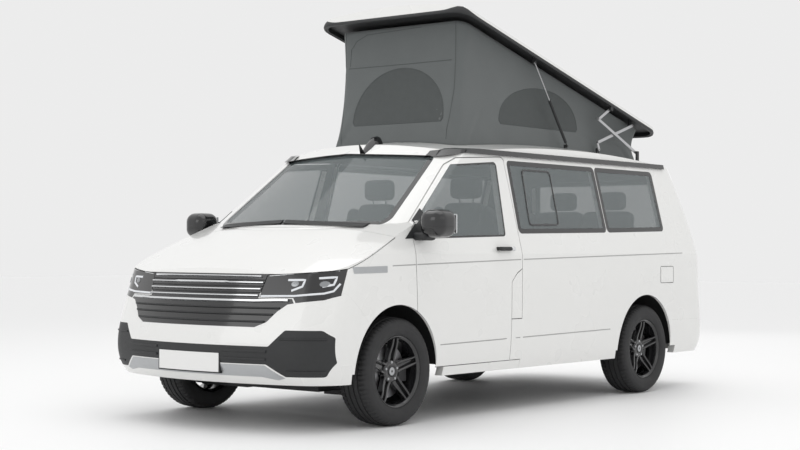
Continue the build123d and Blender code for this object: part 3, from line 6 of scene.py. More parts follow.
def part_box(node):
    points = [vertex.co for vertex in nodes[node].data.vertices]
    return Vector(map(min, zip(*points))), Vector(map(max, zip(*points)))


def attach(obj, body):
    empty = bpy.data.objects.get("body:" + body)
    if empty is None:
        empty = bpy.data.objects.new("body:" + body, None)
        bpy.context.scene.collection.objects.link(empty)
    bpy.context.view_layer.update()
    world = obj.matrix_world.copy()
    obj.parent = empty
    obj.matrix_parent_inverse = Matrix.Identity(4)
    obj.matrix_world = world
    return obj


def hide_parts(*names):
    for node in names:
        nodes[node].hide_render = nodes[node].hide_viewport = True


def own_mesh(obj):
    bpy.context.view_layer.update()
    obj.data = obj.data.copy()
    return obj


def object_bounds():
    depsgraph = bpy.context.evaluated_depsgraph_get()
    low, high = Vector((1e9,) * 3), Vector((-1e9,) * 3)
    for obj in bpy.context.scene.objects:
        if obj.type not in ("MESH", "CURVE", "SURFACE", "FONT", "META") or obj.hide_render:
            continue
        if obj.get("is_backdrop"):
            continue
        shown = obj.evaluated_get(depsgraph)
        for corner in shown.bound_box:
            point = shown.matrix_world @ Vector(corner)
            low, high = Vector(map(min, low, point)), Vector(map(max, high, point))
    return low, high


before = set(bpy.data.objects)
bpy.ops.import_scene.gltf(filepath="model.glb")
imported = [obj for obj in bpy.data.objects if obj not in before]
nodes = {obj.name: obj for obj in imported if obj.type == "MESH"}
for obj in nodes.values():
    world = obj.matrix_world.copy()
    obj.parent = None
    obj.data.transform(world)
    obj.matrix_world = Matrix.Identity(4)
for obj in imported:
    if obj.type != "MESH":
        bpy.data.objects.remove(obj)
cad_low, cad_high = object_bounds()


# Camera, floor and light
CAMERA_PLACE = Vector((8.995, 6.963, 1.097))
CAMERA_YAW, CAMERA_PITCH, CAMERA_ROLL = (math.radians(turn) for turn in (219.0, -0.857, 0.242))
CAMERA_FOCUS_PX, PHOTO_WIDTH_PX = 1554.96, 800
SENSOR_MM, SEEN_TO = 36, 200


def make_camera():
    """A camera at the photograph's place and angle."""
    flat = math.cos(CAMERA_PITCH)
    ahead = Vector((math.cos(CAMERA_YAW) * flat, math.sin(CAMERA_YAW) * flat, -math.sin(CAMERA_PITCH)))
    right = ahead.cross(Vector((0, 0, 1))).normalized()
    up = right.cross(ahead)
    turned_right = math.cos(CAMERA_ROLL) * right + math.sin(CAMERA_ROLL) * up
    turned_up = -math.sin(CAMERA_ROLL) * right + math.cos(CAMERA_ROLL) * up
    cam = bpy.data.objects.new("camera", bpy.data.cameras.new("camera"))
    bpy.context.scene.collection.objects.link(cam)
    placed = Matrix((turned_right, turned_up, -ahead)).transposed().to_4x4()
    placed.translation = CAMERA_PLACE
    cam.matrix_world = placed
    cam.data.sensor_width = SENSOR_MM
    cam.data.lens = SENSOR_MM * CAMERA_FOCUS_PX / PHOTO_WIDTH_PX
    cam.data.clip_end = SEEN_TO
    bpy.context.scene.camera = cam


def tree(mat):
    mat.use_nodes = True
    return mat.node_tree.nodes, mat.node_tree.links


def new_node(nds, kind, operation=None, **inputs):
    """A shader node and some of its input values; an underscore in a name stands for a space."""
    node = nds.new("ShaderNode" + kind)
    if operation:
        node.operation = operation
    for name, value in inputs.items():
        node.inputs[name.replace("_", " ")].default_value = value
    return node


SKY_STRENGTH, BACKGROUND_GREY, FLOOR_GREY, FLOOR_SIZE = 0.92, 0.84, 0.9, 80
LAMPS = (
    # name, place, aim, size, power, tint
    ("top_light", (0.5, 0.0, 7.0), (0, 0, 0), (9.0, 5.0), 130, (1, 1, 1)),
    ("left_light", (1.5, 9.0, 4.2), (0, 0, 1.0), (9.0, 3.5), 25, (1.0, 0.99, 0.97)),
    ("front_light", (9.0, -1.5, 3.6), (1.5, 0, 0.9), (5.0, 3.0), 50, (1, 1, 1)),
    ("back_light", (-8.5, -4.0, 4.0), (-1, 0, 1.0), (6.0, 3.0), 40, (1, 1, 1)),
)


def make_world():
    """An even sky, and a pale background where the camera or a pane looks straight at it."""
    world = bpy.data.worlds.new("studio")
    bpy.context.scene.world = world
    nds, lnk = tree(world)
    nds.clear()
    out = new_node(nds, "OutputWorld")
    mix = new_node(nds, "MixShader")
    light = new_node(nds, "Background", Color=(1.0, 1.0, 1.0, 1), Strength=SKY_STRENGTH)
    seen = new_node(nds, "Background", Color=(BACKGROUND_GREY,) * 3 + (1,), Strength=1.0)
    path = new_node(nds, "LightPath")
    both = new_node(nds, "Math", "MAXIMUM")
    lnk.new(path.outputs["Is Camera Ray"], both.inputs[0])
    lnk.new(path.outputs["Is Transmission Ray"], both.inputs[1])
    lnk.new(both.outputs[0], mix.inputs[0])
    lnk.new(light.outputs[0], mix.inputs[1])
    lnk.new(seen.outputs[0], mix.inputs[2])
    lnk.new(mix.outputs[0], out.inputs[0])


def make_floor():
    bpy.ops.mesh.primitive_plane_add(size=FLOOR_SIZE, location=(0, 0, 0))
    floor = bpy.context.object
    floor.name = "floor"
    mat = bpy.data.materials.new("floor_pale")
    nds, lnk = tree(mat)
    bsdf = nds["Principled BSDF"]
    bsdf.inputs["Base Color"].default_value = (FLOOR_GREY,) * 3 + (1,)
    bsdf.inputs["Roughness"].default_value = 0.55
    noise = new_node(nds, "TexNoise", Scale=3.0)
    bump = new_node(nds, "Bump", Strength=0.02)
    lnk.new(noise.outputs["Fac"], bump.inputs["Height"])
    lnk.new(bump.outputs["Normal"], bsdf.inputs["Normal"])
    floor.data.materials.append(mat)
    floor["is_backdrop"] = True


def make_lamps():
    for name, place, aim, size, power, tint in LAMPS:
        data = bpy.data.lights.new(name, "AREA")
        data.shape = "RECTANGLE"
        data.size, data.size_y = size
        data.energy = power
        data.color = tint
        lamp = bpy.data.objects.new(name, data)
        bpy.context.scene.collection.objects.link(lamp)
        lamp.location = place
        lamp.rotation_euler = (Vector(aim) - Vector(place)).to_track_quat("-Z", "Y").to_euler()


# Materials
def noise_range(nds, lnk, coord, scale, detail, low, high):
    """Noise over the object, mapped from low to high."""
    noise = new_node(nds, "TexNoise", Scale=scale, Detail=detail)
    lnk.new(coord.outputs["Object"], noise.inputs["Vector"])
    ramp = new_node(nds, "MapRange", To_Min=low, To_Max=high)
    lnk.new(noise.outputs["Fac"], ramp.inputs["Value"])
    return ramp.outputs[0]


def weave_height(nds, lnk, coord, scale):
    """Crossed threads on all three axes."""
    waves = []
    for axis in ("X", "Y", "Z"):
        wave = new_node(nds, "TexWave", Scale=scale, Distortion=0.4)
        wave.bands_direction = axis
        lnk.new(coord.outputs["Object"], wave.inputs["Vector"])
        waves.append(wave.outputs["Fac"])
    top = new_node(nds, "Math", "MAXIMUM")
    woven = new_node(nds, "Math", "MULTIPLY")
    lnk.new(waves[0], top.inputs[0])
    lnk.new(waves[1], top.inputs[1])
    lnk.new(top.outputs[0], woven.inputs[0])
    lnk.new(waves[2], woven.inputs[1])
    return woven.outputs[0]


def texture_height(nds, lnk, coord, kind, scale):
    if kind == "weave":
        return weave_height(nds, lnk, coord, scale)
    tex = new_node(nds, "TexVoronoi" if kind == "grain" else "TexNoise", Scale=scale)
    if kind == "noise":
        tex.inputs["Detail"].default_value = 8
    lnk.new(coord.outputs["Object"], tex.inputs["Vector"])
    return tex.outputs["Distance" if kind == "grain" else "Fac"]


def material(name, color, rough, metal=0.0, coat=0.0, bump=None, vary=0.0, vary_scale=6.0, rough_vary=0.0,
             alpha=1.0, sheen=0.0):
    """A Principled material whose colour, roughness and bump come from procedural noise."""
    mat = bpy.data.materials.new(name)
    nds, lnk = tree(mat)
    bsdf = nds["Principled BSDF"]
    values = {"Base Color": (*color, 1), "Metallic": metal, "Roughness": rough, "IOR": 1.5, "Alpha": alpha}
    if coat:
        values.update({"Coat Weight": coat, "Coat Roughness": 0.04})
    if sheen:
        values.update({"Sheen Weight": sheen, "Sheen Roughness": 0.5})
    for socket, value in values.items():
        bsdf.inputs[socket].default_value = value
    coord = new_node(nds, "TexCoord")
    if vary:
        share = noise_range(nds, lnk, coord, vary_scale, 6, 1 - vary, 1 + vary)
        tinted = new_node(nds, "VectorMath", "SCALE", Vector=color)
        lnk.new(share, tinted.inputs["Scale"])
        lnk.new(tinted.outputs[0], bsdf.inputs["Base Color"])
    if rough_vary:
        low, high = max(0.0, rough - rough_vary), min(1.0, rough + rough_vary)
        lnk.new(noise_range(nds, lnk, coord, vary_scale * 2.3, 2, low, high), bsdf.inputs["Roughness"])
    if bump:
        kind, scale, strength, distance = bump
        node = new_node(nds, "Bump", Strength=strength, Distance=distance)
        lnk.new(texture_height(nds, lnk, coord, kind, scale), node.inputs["Height"])
        lnk.new(node.outputs["Normal"], bsdf.inputs["Normal"])
    return mat


PAINT = material("paint_white", (0.77, 0.77, 0.755), 0.28, coat=0.8, bump=("noise", 900, 0.015, 0.001),
                 vary=0.012, vary_scale=1.5, rough_vary=0.03)
BLACK = material("plastic_black", (0.018, 0.019, 0.02), 0.55, bump=("grain", 700, 0.25, 0.0006), vary=0.1,
                 vary_scale=20, rough_vary=0.06)
GLOSS = material("gloss_black", (0.008, 0.008, 0.009), 0.14, coat=0.5, bump=("noise", 300, 0.02, 0.0005),
                 vary=0.08, vary_scale=8, rough_vary=0.04)
CHROME = material("chrome_trim", (0.72, 0.73, 0.74), 0.12, metal=1.0, bump=("noise", 500, 0.02, 0.0003),
                  rough_vary=0.04, vary=0.02)
SILVER = material("silver_paint", (0.42, 0.43, 0.44), 0.32, metal=0.7, bump=("noise", 800, 0.03, 0.0003),
                  vary=0.05, vary_scale=30)
STEEL = material("disc_steel", (0.36, 0.36, 0.37), 0.38, metal=1.0, bump=("noise", 260, 0.12, 0.0004),
                 vary=0.12, vary_scale=14, rough_vary=0.1)
CAST = material("cast_metal", (0.045, 0.045, 0.047), 0.62, metal=0.3, bump=("noise", 160, 0.3, 0.001),
                vary=0.2, vary_scale=12, rough_vary=0.1)
ENGINE = material("engine_cast", (0.13, 0.13, 0.13), 0.6, metal=0.5, bump=("noise", 120, 0.3, 0.001),
                  vary=0.2, vary_scale=9)
UNDER = material("under_coat", (0.035, 0.035, 0.037), 0.8, bump=("noise", 220, 0.4, 0.001), vary=0.2,
                 vary_scale=5)
FELT = material("liner_felt", (0.016, 0.016, 0.017), 0.95, bump=("noise", 500, 0.5, 0.001), vary=0.2,
                vary_scale=12)
GLASS = material("window_glass", (0.22, 0.25, 0.255), 0.03, alpha=0.42, coat=0.3, vary=0.02, vary_scale=2)
SCREEN = material("screen_glass", (0.2, 0.235, 0.24), 0.03, alpha=0.34, coat=0.3, vary=0.02, vary_scale=2)
FRIT = material("frit_black", (0.01, 0.01, 0.011), 0.12, coat=0.4, vary=0.05, vary_scale=5, bump=("noise",
                200, 0.02, 0.0003))
RUBBER = material("tyre_rubber", (0.022, 0.022, 0.023), 0.72, bump=("noise", 260, 0.25, 0.0008), vary=0.15,
                  vary_scale=10, rough_vary=0.08)
# Near-black strips in the shut lines: painted shade in the gaps, with the black of rubber door seals in part.
SEAL_AND_GAP_SHADE = material("seal_rubber", (0.012, 0.012, 0.013), 0.6, bump=("noise", 400, 0.2, 0.0005), vary=0.1)
RIM = material("rim_black", (0.011, 0.011, 0.012), 0.22, coat=0.6, bump=("noise", 600, 0.03, 0.0003),
               vary=0.1, vary_scale=20, rough_vary=0.05)
CLOTH = material("seat_cloth", (0.075, 0.076, 0.08), 0.92, bump=("weave", 180, 0.5, 0.0008), vary=0.16,
                 vary_scale=30, sheen=0.25)
TENT = material("tent_cloth", (0.118, 0.128, 0.128), 0.85, bump=("weave", 220, 0.35, 0.0005), vary=0.07,
                vary_scale=5, sheen=0.15)
TENT_DARK = material("tent_seam", (0.075, 0.082, 0.082), 0.85, bump=("weave", 260, 0.4, 0.0005), vary=0.08,
                     vary_scale=20)
LEATHER = material("wheel_leather", (0.016, 0.016, 0.016), 0.5, bump=("grain", 500, 0.3, 0.0006), vary=0.1)
REDLAMP = material("red_lens", (0.36, 0.01, 0.012), 0.1, coat=0.6, bump=("grain", 120, 0.25, 0.001),
                   vary=0.1, vary_scale=12)
LAMPIN = material("lamp_bowl", (0.3, 0.31, 0.32), 0.2, metal=0.8, bump=("grain", 90, 0.3, 0.001), vary=0.1)
PLATE = material("plate_blank", (0.78, 0.78, 0.77), 0.35, bump=("noise", 120, 0.05, 0.0003), vary=0.015)
ALU = material("arm_aluminium", (0.5, 0.5, 0.51), 0.35, metal=0.9, bump=("noise", 300, 0.08, 0.0003),
               vary=0.06, vary_scale=20)
LIGHTBAR = material("light_guide", (0.75, 0.77, 0.8), 0.2, coat=0.4, vary=0.02, bump=("grain", 300, 0.2,
                    0.0004))
DARK_LINING = material("dark_lining", (0.06, 0.06, 0.058), 0.85, bump=("weave", 200, 0.3, 0.0005),
                       vary=0.08, vary_scale=10)
# Painted shade: a mid grey laid along the body's creases where shade falls in the crease, not a colour of the
# paint.
CREASE_SHADE = material("groove_grey", (0.34, 0.34, 0.335), 0.5, bump=("noise", 300, 0.03, 0.0003), vary=0.05)

NODE_LOOKS = {}
for look, names in (
    (PAINT, "bonnet door_left door_right filler_flap front_wings front_bumper rear_bumper side_panel_left "
            "side_panel_right sliding_door tailgate roof_panel lid"),
    (BLACK, "bumper_insert dashboard door_fittings_left door_fittings_right wipers"),
    (GLOSS, "roof_rails grille"),
    (UNDER, "floor_pan"), (FELT, "wheel_housings"), (CLOTH, "front_seats rear_bench"), (TENT, "tent"),
    (GLASS, "side_windows tailgate_window door_window_left door_window_right"), (SCREEN, "windscreen"),
    (FRIT, "head_lamps"), (REDLAMP, "tail_lamps"), (ENGINE, "engine_block"),
    (CAST, "front_subframe knuckle_left knuckle_right rear_axle"), (LEATHER, "steering_wheel"),
    (ALU, "long_arms cross_arms lower_links upper_links strut_rods"),
    (BLACK, "roof_brackets lid_fittings strut_barrels"),
    (RIM, "rim_front_left rim_front_right rim_rear_left rim_rear_right"),
    (RUBBER, "tyre_front_left tyre_front_right tyre_rear_left tyre_rear_right"),
):
    for name in names.split():
        NODE_LOOKS[name] = look

for name, obj in nodes.items():
    obj.data.materials.clear()
    obj.data.materials.append(NODE_LOOKS[name])
    for poly in obj.data.polygons:
        poly.use_smooth = True
    obj.data.set_sharp_from_angle(angle=math.radians(28))


# Shape helpers
def new_object(name, mesh, finish):
    mat, ride_on, slot_name = finish
    obj = bpy.data.objects.new(name, mesh)
    bpy.context.scene.collection.objects.link(obj)
    mesh.materials.append(mat)
    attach(obj, ride_on)
    return obj


def smooth(mesh, angle=35):
    for poly in mesh.polygons:
        poly.use_smooth = True
    mesh.set_sharp_from_angle(angle=math.radians(angle))


def from_bmesh(bm, name, finish, angle=35):
    bmesh.ops.recalc_face_normals(bm, faces=bm.faces)
    mesh = bpy.data.meshes.new(name)
    bm.to_mesh(mesh)
    bm.free()
    smooth(mesh, angle)
    return new_object(name, mesh, finish)


def body_tree(names):
    """One BVH over some CAD nodes, to lay trim on."""
    verts, faces = [], []
    for n in names.split():
        base = len(verts)
        mesh = nodes[n].data
        verts += [v.co.copy() for v in mesh.vertices]
        faces += [[base + i for i in p.vertices] for p in mesh.polygons]
    return BVHTree.FromPolygons(verts, faces)


VIEWS = {
    "left": (lambda a, b: Vector((a, 1.6, b)), Vector((0, -1, 0))),
    "right": (lambda a, b: Vector((a, -1.6, b)), Vector((0, 1, 0))),
    "front": (lambda a, b: Vector((3.2, a, b)), Vector((-1, 0, 0))),
    "back": (lambda a, b: Vector((-3.2, a, b)), Vector((1, 0, 0))),
}


def land(bvh, view, a, b):
    """Where a ray from that side meets the body, and the surface's outward direction."""
    start, way = VIEWS[view]
    place = start(a, b)
    hit, normal, _, _ = bvh.ray_cast(place, way)
    if hit is None:
        return None, None
    if normal.dot(way) > 0:
        normal = -normal
    return hit, normal


def skin(bm, rings, closed=False):
    """Faces between rings of vertices, capped at both ends unless the last ring meets the first."""
    size = len(rings[0])
    for a, b in zip(rings, rings[1:] + rings[:1] if closed else rings[1:]):
        for j in range(size):
            bm.faces.new((a[j], a[(j + 1) % size], b[(j + 1) % size], b[j]))
    if not closed:
        bm.faces.new(rings[0][::-1])
        bm.faces.new(rings[-1])


def tube(bm, points, profile, normals=None, closed=False):
    """Sweeps a closed profile of (across, up) along points; up follows the normals."""
    rings = []
    count = len(points)
    for i, p in enumerate(points):
        before = points[i - 1] if (i > 0 or closed) else points[i]
        after = points[(i + 1) % count] if (i < count - 1 or closed) else points[i]
        along = (after - before).normalized()
        up = normals[i] if normals else Vector((0, 0, 1))
        across = along.cross(up).normalized()
        up = across.cross(along).normalized()
        rings.append([bm.verts.new(p + across * u + up * v) for u, v in profile])
    skin(bm, rings, closed)


def resample(path, step):
    """Points every step along a polyline of (a, b) pairs."""
    out = []
    for (a0, b0), (a1, b1) in zip(path, path[1:]):
        n = max(1, int(math.hypot(a1 - a0, b1 - b0) / step))
        out += [(a0 + (a1 - a0) * i / n, b0 + (b1 - b0) * i / n) for i in range(n)]
    out.append(path[-1])
    return out


def bead(name, bvh, view, path, width, height, finish, lift=0.0, sink=0.004, step=0.04, closed=False):
    """A low strip laid on the body along a path drawn from one side."""
    pts, nrm = [], []
    for a, b in resample(path, step):
        hit, n = land(bvh, view, a, b)
        if hit is not None:
            pts.append(hit + n * lift)
            nrm.append(n)
    if closed:
        pts, nrm = pts[:-1], nrm[:-1]
    w, h = width / 2, height
    profile = [(-w, -sink), (w, -sink), (w, h * 0.5), (w * 0.55, h), (-w * 0.55, h), (-w, h * 0.5)]
    bm = bmesh.new()
    tube(bm, pts, profile, nrm, closed)
    return from_bmesh(bm, name, finish, 50)


def fill_outline(outline, step):
    """A triangulated grid inside an outline, as (points, faces)."""
    bm = bmesh.new()
    verts = [bm.verts.new((a, b, 0)) for a, b in outline]
    bm.faces.new(verts)
    for axis, way in enumerate(((1, 0, 0), (0, 1, 0))):
        low, high = min(p[axis] for p in outline), max(p[axis] for p in outline)
        for k in range(1, int((high - low) / step) + 1):
            place = [(low + k * step) * share for share in way]
            bmesh.ops.bisect_plane(bm, geom=bm.verts[:] + bm.edges[:] + bm.faces[:], plane_co=place,
                                   plane_no=way)
    bmesh.ops.triangulate(bm, faces=[f for f in bm.faces if len(f.verts) > 4])
    return bm


def patch(name, bvh, view, outline, thickness, finish, lift=0.0, sink=0.003, step=0.05, bulge=0.0, angle=40):
    """A plate with an outline drawn from one side, laid on the body."""
    bm = fill_outline(outline, step)
    centre = Vector((sum(p[0] for p in outline) / len(outline), sum(p[1] for p in outline) / len(outline)))
    reach = max((Vector(p) - centre).length for p in outline)
    found = {v: land(bvh, view, v.co.x, v.co.y) for v in bm.verts}
    landed = [(v.co.copy(), spot) for v, spot in found.items() if spot[0] is not None]
    tops = {}
    for v, (hit, n) in found.items():
        if hit is None:
            _, (near_hit, n) = min(landed, key=lambda d: (d[0] - v.co).length_squared)
            start, way = VIEWS[view][0](v.co.x, v.co.y), VIEWS[view][1]
            hit = start + way * (near_hit - start).dot(way)
        near = 1 - min(1, (Vector((v.co.x, v.co.y)) - centre).length / reach) ** 2
        tops[v] = (hit, n, near)
    for v, (hit, n, near) in tops.items():
        v.co = hit + n * (lift + thickness + bulge * near)
    ret = bmesh.ops.extrude_face_region(bm, geom=bm.faces[:])
    tops_now = [(v.co.copy(), hit, n) for v, (hit, n, _) in tops.items()]
    for v in [g for g in ret["geom"] if isinstance(g, bmesh.types.BMVert)]:
        _, hit, n = min(tops_now, key=lambda d: (d[0] - v.co).length_squared)
        v.co = hit + n * (lift - sink)
    return from_bmesh(bm, name, finish, angle)


def box_mesh(bm, low, high, bevel):
    """A bevelled block between two corners."""
    low, high = Vector(low), Vector(high)
    ret = bmesh.ops.create_cube(bm, size=1)
    for v in ret["verts"]:
        v.co = Vector(((v.co.x + 0.5) * (high.x - low.x) + low.x, (v.co.y + 0.5) * (high.y - low.y) + low.y,
                       (v.co.z + 0.5) * (high.z - low.z) + low.z))
    edges = list({e for v in ret["verts"] for e in v.link_edges})
    bmesh.ops.bevel(bm, geom=edges, offset=bevel, segments=2, profile=0.6, affect="EDGES")


def rounded(outline, radius):
    """An outline with its corners rounded."""
    out = []
    n = len(outline)
    for i in range(n):
        p = Vector(outline[i])
        a, b = Vector(outline[i - 1]) - p, Vector(outline[(i + 1) % n]) - p
        r = min(radius, a.length * 0.45, b.length * 0.45)
        start, end = p + a.normalized() * r, p + b.normalized() * r
        for k in range(5):
            t = k / 4
            q = start * (1 - t) ** 2 + p * 2 * t * (1 - t) + end * t ** 2
            out.append((q.x, q.y))
    return out


def lathe(bm, profile, centre, axis_y, segments):
    """Turns a profile of (along the axle, radius) about an axle parallel to Y."""
    rings = []
    for k in range(segments):
        t = 2 * math.pi * k / segments
        places = [Vector((r * math.cos(t), axis_y * y, r * math.sin(t))) for y, r in profile]
        rings.append([bm.verts.new(centre + place) for place in places])
    for k in range(segments):
        a, b = rings[k], rings[(k + 1) % segments]
        for j in range(len(profile) - 1):
            if profile[j][1] < 1e-6 and profile[j + 1][1] < 1e-6:
                continue
            bm.faces.new((a[j], a[j + 1], b[j + 1], b[j]))
    bmesh.ops.remove_doubles(bm, verts=bm.verts, dist=1e-6)


# Finishes: material, body that carries it and slot
VAN_BLACK = (BLACK, "van", "black_trim")
VAN_CHROME = (CHROME, "van", "grille_trim")
LAMP_LIGHT = (LIGHTBAR, "van", "head_lamp")
TENT_TRIM = (TENT_DARK, "van", "tent_cloth")
VAN_FRIT = (FRIT, "van", "gloss_trim")

# Wheels
def tyre_mesh(side):
    """A treaded tyre about the wheel's own centre."""
    half = [
        (0.096, 0.2225), (0.1035, 0.2262), (0.106, 0.23), (0.1115, 0.243), (0.115, 0.258), (0.1168, 0.274),
        (0.116, 0.2785), (0.1168, 0.281), (0.115, 0.296), (0.1105, 0.309), (0.1055, 0.3165), (0.101, 0.3215),
        (0.095, 0.3262), (0.0875, 0.33), (0.076, 0.3318), (0.062, 0.333), (0.061, 0.3262),
        (0.053, 0.3262), (0.052, 0.3338), (0.025, 0.335), (0.024, 0.3275), (0.016, 0.3275),
        (0.015, 0.3355),
    ]
    profile = half + [(-y, r) for y, r in reversed(half)]
    profile += [(-0.09, 0.212), (0.09, 0.212)]
    count = 198
    bm = bmesh.new()
    rings = []
    for k in range(count):
        t = 2 * math.pi * k / count
        cut = k % 3 == 0
        ring = []
        for y, r in profile:
            if r > 0.3155 and abs(y) > 0.0615 and cut:
                r -= 0.0075 if abs(y) < 0.097 else 0.005
            elif 0.0265 < abs(y) < 0.051 and k % 6 == 3:
                r -= 0.005
            ring.append(bm.verts.new((r * math.cos(t), side * y, r * math.sin(t))))
        rings.append(ring)
    skin(bm, rings, closed=True)
    return bm


def bar_between(bm, start, end, half_start, half_end, low_start, low_end, high_start, high_end, angle, side):
    """A tapered bar on a wheel from one radius to another, with a chamfered face."""
    cos, sin = math.cos(angle), math.sin(angle)
    rings = []
    for k in range(7):
        t = k / 6
        r = start + (end - start) * t
        h = half_start[1] + (half_end[1] - half_start[1]) * t
        mid = half_start[0] + (half_end[0] - half_start[0]) * t
        low = low_start + (low_end - low_start) * t
        bend = t * t * (3 - 2 * t)
        high = high_start + (high_end - high_start) * bend
        ring = []
        for v, y in ((mid - h, low), (mid - h, high - 0.004), (mid - h * 0.55, high), (mid + h * 0.55, high),
                     (mid + h, high - 0.004), (mid + h, low)):
            ring.append(bm.verts.new((r * cos - v * sin, side * y, r * sin + v * cos)))
        rings.append(ring)
    skin(bm, rings)


def rim_mesh(side):
    """A five-spoke rim with paired edges to each spoke."""
    bm = bmesh.new()
    zero = Vector((0, 0, 0))
    barrel = [(0.092, 0.2218), (0.1005, 0.2222), (0.102, 0.219), (0.1, 0.215), (0.093, 0.21),
              (0.088, 0.2045), (0.07, 0.2005), (0.035, 0.199), (-0.065, 0.199), (-0.088, 0.2045),
              (-0.096, 0.213), (-0.101, 0.22), (-0.098, 0.2222), (-0.092, 0.2218), (-0.0915, 0.2085),
              (0.0915, 0.2085), (0.092, 0.2218)]
    lathe(bm, barrel, zero, side, 96)
    hub = [(0.018, 0.033), (0.018, 0.074), (0.042, 0.074), (0.05, 0.069), (0.0545, 0.06),
           (0.0545, 0.047), (0.052, 0.04), (0.054, 0.0345), (0.045, 0.033), (0.018, 0.033)]
    lathe(bm, hub, zero, side, 64)
    for k in range(5):
        angle = math.pi / 2 + 2 * math.pi * k / 5
        for edge in (-1, 1):
            bar_between(bm, 0.06, 0.204, (edge * 0.0275, 0.0085), (edge * 0.019, 0.0065), 0.02, 0.046,
                        0.0545, 0.089, angle, side)
        bar_between(bm, 0.06, 0.204, (0, 0.023), (0, 0.016), 0.018, 0.044, 0.04, 0.064, angle, side)
        for edge in (-1, 1):
            spot = angle + edge * math.pi / 5
            bar_between(bm, 0.066, 0.085, (0, 0.012), (0, 0.006), 0.02, 0.022, 0.047, 0.03, spot, side)
    return bm


def bolts_mesh(side):
    """Five wheel bolts."""
    bm = bmesh.new()
    for k in range(5):
        angle = math.pi / 2 + 2 * math.pi * k / 5
        place = Vector((0.056 * math.cos(angle), side * 0.045, 0.056 * math.sin(angle)))
        bolt = [(0, 0.0001), (0, 0.0098), (0.011, 0.009), (0.0125, 0.007), (0.0125, 0.0001)]
        lathe(bm, bolt, place, side, 6)
    return bm


for wheel in ("front_left", "front_right", "rear_left", "rear_right"):
    low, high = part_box("tyre_" + wheel)
    centre = (Vector(low) + Vector(high)) / 2
    side = 1 if centre.y > 0 else -1
    body = "wheel_" + wheel
    tyre = from_bmesh(tyre_mesh(side), "tread_" + wheel, (RUBBER, body, "tyre_rubber"), 28)
    rim = from_bmesh(rim_mesh(side), "spokes_" + wheel, (RIM, body, "rim_paint"), 32)
    bolts = from_bmesh(bolts_mesh(side), "bolts_" + wheel, (SILVER, body, "rim_paint"), 30)
    bm = bmesh.new()
    lathe(bm, [(0.056, 0.0001), (0.0575, 0.012), (0.057, 0.025), (0.0545, 0.0315), (0.048, 0.0325),
               (0.044, 0.0325), (0.044, 0.0001)], Vector((0, 0, 0)), side, 48)
    cap = from_bmesh(bm, "hubcap_" + wheel, (SILVER, body, "rim_paint"), 40)
    bm = bmesh.new()
    lathe(bm, [(-0.008, 0.07), (-0.008, 0.165), (0.001, 0.165), (0.001, 0.156), (0.007, 0.156),
               (0.007, 0.165), (0.016, 0.165), (0.016, 0.076), (0.02, 0.074), (0.02, 0.06),
               (-0.008, 0.06)], Vector((0, 0, 0)), side, 72)
    disc = from_bmesh(bm, "disc_" + wheel, (STEEL, body, "rim_paint"), 30)
    for obj in (tyre, rim, bolts, cap, disc):
        obj.data.transform(Matrix.Translation(centre))
    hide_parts("tyre_" + wheel)
    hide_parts("rim_" + wheel)

# The front
FRONT = body_tree("grille front_bumper bumper_insert head_lamps front_wings bonnet")
FRONT_BARS = (
    # name, height and half length of each bar; then the group's width, rise, material, slot and lift
    ((("grille_strip_0", 0.921, 0.492),), (0.01, 0.011, CHROME, "grille_trim", 0.001)),
    ((("grille_strip_1", 0.8865, 0.484), ("grille_strip_2", 0.848, 0.476), ("grille_strip_3", 0.81, 0.468)),
     (0.011, 0.011, CHROME, "grille_trim", 0.001)),
    ((("lower_bar_0", 0.739, 0.628), ("lower_bar_1", 0.701, 0.592), ("lower_bar_2", 0.659, 0.548)),
     (0.011, 0.009, BLACK, "black_trim", 0.0005)),
    ((("grille_rib_0", 0.903, 0.488), ("grille_rib_1", 0.867, 0.48), ("grille_rib_2", 0.829, 0.47)),
     (0.006, 0.004, BLACK, "black_trim", 0.0)),
)
for bars, (width, rise, mat, slot_name, lift) in FRONT_BARS:
    for name, z, half in bars:
        bead(name, FRONT, "front", [(-half, z), (half, z)], width, rise, (mat, "van", slot_name), lift=lift,
             step=0.03)
bead("grille_bar", FRONT, "front", [(-0.672, 0.786), (-0.45, 0.779), (0.45, 0.779), (0.672, 0.786)], 0.02,
     0.012, VAN_CHROME, lift=0.001, step=0.03)
